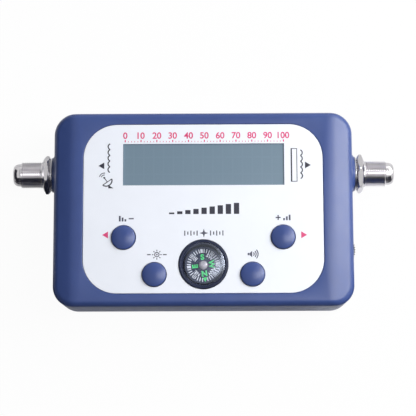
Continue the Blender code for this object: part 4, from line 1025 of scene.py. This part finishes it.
def button_caps():
    flange_top = ROOF_Z - SIDE_GAP
    flange_bottom = flange_top - BUTTON_FLANGE_THICKNESS
    side_top = LABEL_TOP + BUTTON_SIDE_HEIGHT
    shoulder = BUTTON_RADIUS - BUTTON_EDGE_ROUND
    dome_radius = (shoulder * shoulder + BUTTON_CROWN * BUTTON_CROWN) / (2 * BUTTON_CROWN)
    dome_base = side_top + BUTTON_EDGE_ROUND
    half_angle = math.degrees(math.asin(shoulder / dome_radius))
    stem = BUTTON_STEM_RADIUS
    flange = BUTTON_RADIUS + BUTTON_FLANGE_OVERLAP
    profile = [(0, BUTTON_STEM_BOTTOM), (stem, BUTTON_STEM_BOTTOM), (stem, flange_bottom)]
    profile += [(flange, flange_bottom), (flange, flange_top), (BUTTON_RADIUS, flange_top)]
    profile += arc((shoulder, side_top), BUTTON_EDGE_ROUND, 0, 90 - half_angle, 7)
    dome = arc((0, dome_base + BUTTON_CROWN - dome_radius), dome_radius, 90 - half_angle, 90, 12)
    profile.extend(dome[1:-1])
    profile.append((0, dome_base + BUTTON_CROWN))
    for name, centre in BUTTON_PLACES.items():
        mesh = mesh_from(turned(profile, HOLE_CIRCLE, centre), SHARP_DOMED)
        piece(f"{name}_cap", mesh, f"{name}_key", "button_blue", f"{name}_button")


# Compass


def compass_housing():
    bore = COMPASS_RADIUS - CUP_WALL
    mouth = bore + LENS_SEAT_WIDTH
    seat = COMPASS_RIM - LENS_SEAT_DEPTH
    floor = COMPASS_BOTTOM + CUP_FLOOR
    rim = (COMPASS_RADIUS - CUP_RIM_ROUND, COMPASS_RIM - CUP_RIM_ROUND)
    inner_rim = (mouth + CUP_MOUTH_ROUND, COMPASS_RIM - CUP_MOUTH_ROUND)
    profile = [(0, COMPASS_BOTTOM), (COMPASS_RADIUS, COMPASS_BOTTOM)]
    profile += arc(rim, CUP_RIM_ROUND, 0, 90, 6)
    profile += arc(inner_rim, CUP_MOUTH_ROUND, 90, 180, 4)
    profile += [(mouth, seat), (bore, seat), (bore, floor), (0, floor)]
    mesh = mesh_from(turned(profile, CIRCLE, COMPASS_PLACE))
    piece("compass_housing", mesh, "meter", "black_plastic", "compass_cup")

    radius = mouth - FIT_GAP
    high = seat + SEAT_GAP + LENS_THICKNESS
    upper = []
    for step in range(LENS_STEPS + 1):
        share = 1 - (step / LENS_STEPS) ** LENS_STEP_POWER
        upper.append((radius * share, high + LENS_CROWN * (1 - share ** LENS_FLATNESS)))
    lower = [(across, height - LENS_THICKNESS) for across, height in reversed(upper)]
    mesh = mesh_from(turned(lower + upper, CIRCLE, COMPASS_PLACE), SHARP_DOMED)
    piece("compass_window", mesh, "meter", "clear_lens", "compass_lens")


def on_card(radius, degrees):
    return polar((0, 0), radius, math.radians(degrees))


def tick(ink, degrees, width):
    ink.line([on_card(reach, degrees) for reach in TICK_REACH], width)


def compass_card():
    low = CARD_TOP - CARD_THICKNESS
    profile = [(CARD_RADIUS, low), (CARD_RADIUS, CARD_TOP), (CARD_HOLE, CARD_TOP), (CARD_HOLE, low)]
    mesh = mesh_from(turned(profile, CIRCLE, COMPASS_PLACE, ring=True))
    piece("compass_disc", mesh, "compass_rose", "card_black", "compass_card")

    white, green = (Ink(CARD_TOP, CARD_TOP + CARD_PRINT) for colour in range(2))
    for ink in (white, green):
        ink.at(COMPASS_PLACE, math.radians(CARD_TURN))
    for degrees in range(0, 360, 10):
        if degrees != 90 and degrees % 90 not in (40, 50):
            tick(white, degrees, 0.00034 if degrees % 90 else 0.00090)
    for middle in range(45, 360, 90):
        for offset in (-6.5, 0, 6.5):
            tick(white, middle + offset, 0.00024)
        for radius in (0.0046, 0.0052, 0.0058):
            white.line([on_card(radius, middle + 2.5 * k) for k in range(-3, 4)], 0.00021)
    for letter, degrees in (("N", 90), ("E", 0), ("S", 270), ("W", 180)):
        green.text(letter, 0.0021, on_card(0.0030, degrees), 0.045, math.radians(degrees - 90))
    for letters, degrees in (("NE", 45), ("SE", 315), ("SW", 225), ("NW", 135)):
        white.text(letters, 0.0013, on_card(0.0037, degrees), 0.025, math.radians(degrees - 90))
    green.area([on_card(0.0060, 90), on_card(0.0045, 101), on_card(0.0045, 79)])
    piece("compass_white_print", white.mesh(), "compass_rose", "card_black", look=DIAL_WHITE)
    piece("compass_green_print", green.mesh(), "compass_rose", "card_black", look=DIAL_GREEN)


def compass_hub():
    """Bearing cap with a shallow dimple in its crown."""
    flange_low = CARD_TOP + SEAT_GAP
    flange_high = flange_low + HUB_FLANGE
    spigot_low = flange_low - HUB_SPIGOT_LENGTH
    crown = flange_high + HUB_CROWN
    profile = [(0, flange_low), (HUB_PIN_HOLE, flange_low), (HUB_PIN_HOLE, spigot_low)]
    profile += [(HUB_SPIGOT, spigot_low), (HUB_SPIGOT, flange_low), (HUB_RADIUS, flange_low)]
    for across, rise in arc((0, 0), 1, 0, 54, 7):
        profile.append((HUB_RADIUS * across, flange_high + HUB_CROWN * rise))
    profile.extend((radius, crown + height) for radius, height in HUB_DIMPLE)
    mesh = mesh_from(turned(profile, SMALL_CIRCLE, COMPASS_PLACE), SHARP_DOMED)
    piece("compass_hub", mesh, "compass_rose", "tin_plate", "compass_bearing_cap", look=HUB_METAL)


# Connectors


def thread_radius(radius, height, angle):
    """Radius of the threaded barrel, with the thread fading in behind and cut off at the nose."""
    if radius != THREAD_RADIUS or not THREAD_START < height < THREAD_END:
        return radius
    turn = (height - THREAD_START) / THREAD_PITCH - angle / (2 * math.pi)
    share = abs((turn % 1.0) - 0.5) * 2
    share = min(max((share - THREAD_FLAT) / (1 - 2 * THREAD_FLAT), 0.0), 1.0)
    fade = min((height - THREAD_START) / THREAD_PITCH, 1.0)
    return THREAD_RADIUS - THREAD_DEPTH * (1 - share) * fade


def barrel_shape():
    bore = INSULATOR_RADIUS + FIT_GAP
    profile = [(bore, REAR_END), (REAR_BARREL_RADIUS, REAR_END), (REAR_BARREL_RADIUS, FLANGE_BACK)]
    profile += [(FLANGE_RADIUS, FLANGE_BACK), (FLANGE_RADIUS, FLANGE_FRONT)]
    profile += [(THREAD_RADIUS, FLANGE_FRONT), (THREAD_RADIUS, THREAD_START)]
    rows = THREAD_TURNS * THREAD_ROWS
    for row in range(1, rows):
        profile.append((THREAD_RADIUS, THREAD_START + (THREAD_END - THREAD_START) * row / rows))
    groove = THREAD_RADIUS - THREAD_DEPTH - GROOVE_DEPTH
    groove_end = THREAD_END + GROOVE_WIDTH
    profile += [(groove, THREAD_END), (groove, groove_end), (NOSE_RADIUS, groove_end + GROOVE_RISE)]
    for across, along in arc((0, 0), 1, 0, 90, 12):
        radius = NOSE_RADIUS - NOSE_ROUND * (1 - across)
        profile.append((radius, CONNECTOR_LENGTH - NOSE_REACH * (1 - along)))
    profile.append((bore + NOSE_BEVEL, CONNECTOR_LENGTH))
    profile.append((bore, CONNECTOR_LENGTH - NOSE_BEVEL))
    return turned(profile[::-1], BARREL_CIRCLE, ring=True, radius_at=thread_radius)


def nut_shape(turn):
    """Hexagon nut on a narrow collar, its corners turned to a chamfer at both ends."""
    foot = BOSS_HEIGHT + WASHER_THICKNESS + 2 * FIT_GAP
    high = foot + NUT_THICKNESS
    low = foot + NUT_COLLAR
    flat = NUT_ACROSS_FLATS / 2
    cone = 1 / math.tan(NUT_CHAMFER)

    def outer(radius, height, angle):
        if radius != NUT_ACROSS_FLATS:
            return radius
        beside = (angle - turn) % (math.pi / 3) - math.pi / 6
        hexagon = flat / math.cos(beside)
        outer_cone = flat * NUT_FACE_SHARE + (high - height) * cone
        inner_cone = flat * NUT_BACK_SHARE + (height - low) * cone
        return min(hexagon, outer_cone, inner_cone)

    wide = THREAD_HOLE + BORE_BEVEL
    profile = [(wide, foot)]
    profile.extend((flat * share, height) for share, height in zip(NUT_COLLAR_SHARES, (foot, low)))
    profile.extend((NUT_ACROSS_FLATS, low + (high - low) * k / NUT_ROWS) for k in range(NUT_ROWS + 1))
    profile += [(wide, high), (THREAD_HOLE, high - BORE_BEVEL), (THREAD_HOLE, foot + BORE_BEVEL)]
    return turned(profile, NUT_CIRCLE, ring=True, radius_at=outer)


def washer_shape():
    low = BOSS_HEIGHT + FIT_GAP
    high = low + WASHER_THICKNESS
    rim = WASHER_RIM
    hole = THREAD_RADIUS + WASHER_HOLE_GAP
    profile = arc((WASHER_RADIUS - rim, low + rim), rim, -90, 0, 4)
    profile += arc((WASHER_RADIUS - rim, high - rim), rim, 0, 90, 4)
    profile += [(hole, high), (hole, low)]
    return turned(profile, CIRCLE, ring=True)


def insulator_shape():
    front = CONNECTOR_LENGTH - INSULATOR_SUNK
    hole = CONTACT_RADIUS + FIT_GAP
    profile = [(INSULATOR_RADIUS, REAR_END), (INSULATOR_RADIUS, front - INSULATOR_BEVEL)]
    profile += [(INSULATOR_RADIUS - INSULATOR_BEVEL, front), (hole + BORE_BEVEL, front)]
    profile += [(hole, front - BORE_BEVEL), (hole, REAR_END)]
    return turned(profile, SMALL_CIRCLE, ring=True)


def connectors():
    for name, side in (("dish", -1), ("receiver", 1)):
        parts = (
            ("barrel", barrel_shape(), "nickel", "body"),
            ("hexagon_nut", nut_shape(NUT_TURNS[name]), "nickel", "nut"),
            ("lock_washer", washer_shape(), "spring_steel", "washer"),
            ("insulator_core", insulator_shape(), "insulator_white", "insulator"),
        )
        for label, shape, slot, node in parts:
            mesh = mesh_from(to_side(shape, side), SHARP_TURNED)
            piece(f"{name}_{label}", mesh, "meter", slot, f"{name}_connector_{node}")


# Thumbwheel and screws


def wheel_outline(inset):
    points = []
    for tooth in range(WHEEL_TEETH):
        for share, depth in WHEEL_TOOTH:
            angle = 2 * math.pi * (tooth + share) / WHEEL_TEETH
            points.append(polar(WHEEL_PLACE, WHEEL_RADIUS - inset - depth * WHEEL_TOOTH_DEPTH, angle))
    return points


def thumbwheel():
    levels = (
        (WHEEL_BEVEL, WHEEL_BOTTOM),
        (0.0, WHEEL_BOTTOM + WHEEL_BEVEL_HEIGHT),
        (0.0, WHEEL_TOP - WHEEL_BEVEL_HEIGHT),
        (WHEEL_BEVEL, WHEEL_TOP),
    )
    wheel = lofted([raised(wheel_outline(inset), height) for inset, height in levels])
    bore = cylinder(WHEEL_BORE, WHEEL_BOTTOM - OVERRUN, WHEEL_TOP + OVERRUN, POST_CIRCLE, WHEEL_PLACE)
    mesh = carved(wheel, [("DIFFERENCE", bore)])
    piece("serrated_wheel", mesh, "thumbwheel", "black_plastic", "level_thumbwheel", look=RING_BLACK)


def case_screws():
    head = SCREW_HEAD_RADIUS
    rise = SCREW_HEAD_HEIGHT
    radius = SCREW_RADIUS
    arm = head * CROSS_ARM
    half = head * CROSS_HALF_WIDTH
    profile = [(0, -rise)]
    profile += arc((head - rise / 2, -rise / 2), rise / 2, -90, 0, 8)
    profile += [(head, 0), (radius, 0), (radius, SCREW_LENGTH - radius), (0, SCREW_LENGTH)]
    profile = [(across, SCREW_HEAD_Z + height) for across, height in profile]
    low = SCREW_HEAD_Z - rise - OVERRUN
    high = SCREW_HEAD_Z - rise * CROSS_FLOOR
    for name, centre in zip(("upper_left", "upper_right", "lower_left", "lower_right"), CASE_CORNERS):
        steps = []
        for reach_x, reach_y in ((arm, half), (half, arm)):
            wide = rectangle(reach_x, reach_y, centre)
            tip = rectangle(reach_x * CROSS_TAPER, reach_y * CROSS_TAPER, centre)
            steps.append(("DIFFERENCE", lofted([raised(wide, low), raised(tip, high)])))
        mesh = carved(turned(profile, SCREW_CIRCLE, centre), steps)
        piece(f"case_fixing_{name}", mesh, "meter", "spring_steel", f"case_screw_{name}")


def dress_nodes():
    """Give every carried-over solid the look of its slot."""
    slots = {part["node"]: part["material_slot"] for part in frame["record"]["subparts"]}
    for name, node in frame["nodes"].items():
        material = SLOT_LOOKS[slots[name]]
        if not node.material_slots:
            node.data.materials.append(material)
        for held in node.material_slots:
            held.link = "OBJECT"
            held.material = material


# Studio


def white_background(tree, plain, camera_share, mirror_share, kind, out_kind="ShaderNodeOutputMaterial"):
    """Mix white over a plain shader for camera rays and for those that mirrors and clear parts send on."""
    path = tree.nodes.new("ShaderNodeLightPath")
    seen = math_node(tree, "MULTIPLY", path.outputs["Is Camera Ray"], camera_share)
    sent_on = math_node(tree, "MAXIMUM", path.outputs["Is Glossy Ray"], path.outputs["Is Transmission Ray"])
    mirrored = math_node(tree, "MULTIPLY", sent_on, mirror_share)
    white = add_node(tree, kind, Color=(1, 1, 1, 1), Strength=1.0)
    mixed_output(tree, math_node(tree, "MAXIMUM", seen, mirrored), plain, white, out_kind)


def stage_plane(name, material, corners):
    mesh = bpy.data.meshes.new(name)
    mesh.from_pydata(corners, [], [(0, 1, 2, 3)])
    mesh.materials.append(material)
    made = linked_object(name, mesh)
    return made


def dark_paint(name, colour):
    made, tree = node_tree(name)
    paint = add_node(tree, "ShaderNodeBsdfDiffuse", Color=(*colour, 1))
    add_node(tree, "ShaderNodeOutputMaterial", Surface=paint.outputs[0])
    return made


def reflected_cards():
    card_material = dark_paint("dark_card", (0.07, 0.07, 0.09))
    # The mats' dark paint is painted shadow of the floor around the case, which only reflections show.
    floor_shadow_material = dark_paint("dark_mat", (0.015, 0.017, 0.03))
    cards = dict(LEANING_CARDS)
    for name, (low_x, high_x, low_y, high_y, height) in LEVEL_CARDS.items():
        cards[name] = raised([(low_x, low_y), (high_x, low_y), (high_x, high_y), (low_x, high_y)], height)
    for name, corners in cards.items():
        card = stage_plane(name, floor_shadow_material if name.endswith("_mat") else card_material, corners)
        card.visible_camera = False
        card.visible_diffuse = False
        card.visible_shadow = False


def softbox(name, across, along, distance, size_x, size_y, radiance):
    """Area lamp aimed at the object, at two angles from straight above: towards +X and towards +Y."""
    direction = Vector((math.tan(math.radians(across)), math.tan(math.radians(along)), 1.0)).normalized()
    lamp = bpy.data.lights.new(name, "AREA")
    lamp.shape = "RECTANGLE"
    lamp.size = size_x
    lamp.size_y = size_y
    lamp.energy = radiance * math.pi * size_x * size_y
    made = linked_object(name, lamp)
    made.location = direction * distance
    made.rotation_euler = (-direction).to_track_quat("-Z", "Y").to_euler()
    made.visible_camera = False


def studio():
    floor_material, tree = node_tree("pale_floor")
    colour = mixed_colour(tree, noise(tree, 9.0), (0.86, 0.86, 0.86), (0.88, 0.88, 0.88))
    paint = add_node(tree, "ShaderNodeBsdfDiffuse", Color=colour, Roughness=0.5)
    white_background(tree, paint, FLOOR_WHITE, FLOOR_MIRRORED, "ShaderNodeEmission")
    stage_plane("pale_floor", floor_material, raised(rectangle(FLOOR_HALF, FLOOR_HALF), FLOOR_Z))
    reflected_cards()
    for name, settings in SOFTBOXES.items():
        softbox(name, *settings)

    world = bpy.data.worlds.new("studio_world")
    bpy.context.scene.world = world
    world.use_nodes = True
    tree = world.node_tree
    tree.nodes.clear()
    fill = add_node(tree, "ShaderNodeBackground", Color=(1, 1, 1, 1), Strength=WORLD_FILL)
    white_background(tree, fill, 1.0, WORLD_MIRRORED, "ShaderNodeBackground", "ShaderNodeOutputWorld")


def camera():
    """Camera that looks down, tilted about X, then turned about its own Y and rolled."""
    tilt = Matrix.Rotation(CAMERA_TILT, 4, "X")
    yaw = Matrix.Rotation(CAMERA_YAW, 4, "Y")
    roll = Matrix.Rotation(-CAMERA_ROLL, 4, "Z")
    lens = bpy.data.cameras.new("camera")
    lens.sensor_fit = "HORIZONTAL"
    lens.sensor_width = SENSOR_WIDTH
    lens.lens = SENSOR_WIDTH * FOCAL_PIXELS / IMAGE_SIZE
    lens.clip_start = 0.01
    made = linked_object("camera", lens)
    made.matrix_world = Matrix.Translation(CAMERA_PLACE) @ tilt @ yaw @ roll
    bpy.context.scene.camera = made


dress_nodes()
front_shell()
back_shell()
face_label()
display_window()
label_marks()
button_caps()
compass_housing()
compass_card()
compass_hub()
connectors()
thumbwheel()
case_screws()
studio()
camera()
bpy.context.scene.view_settings.view_transform = "Standard"
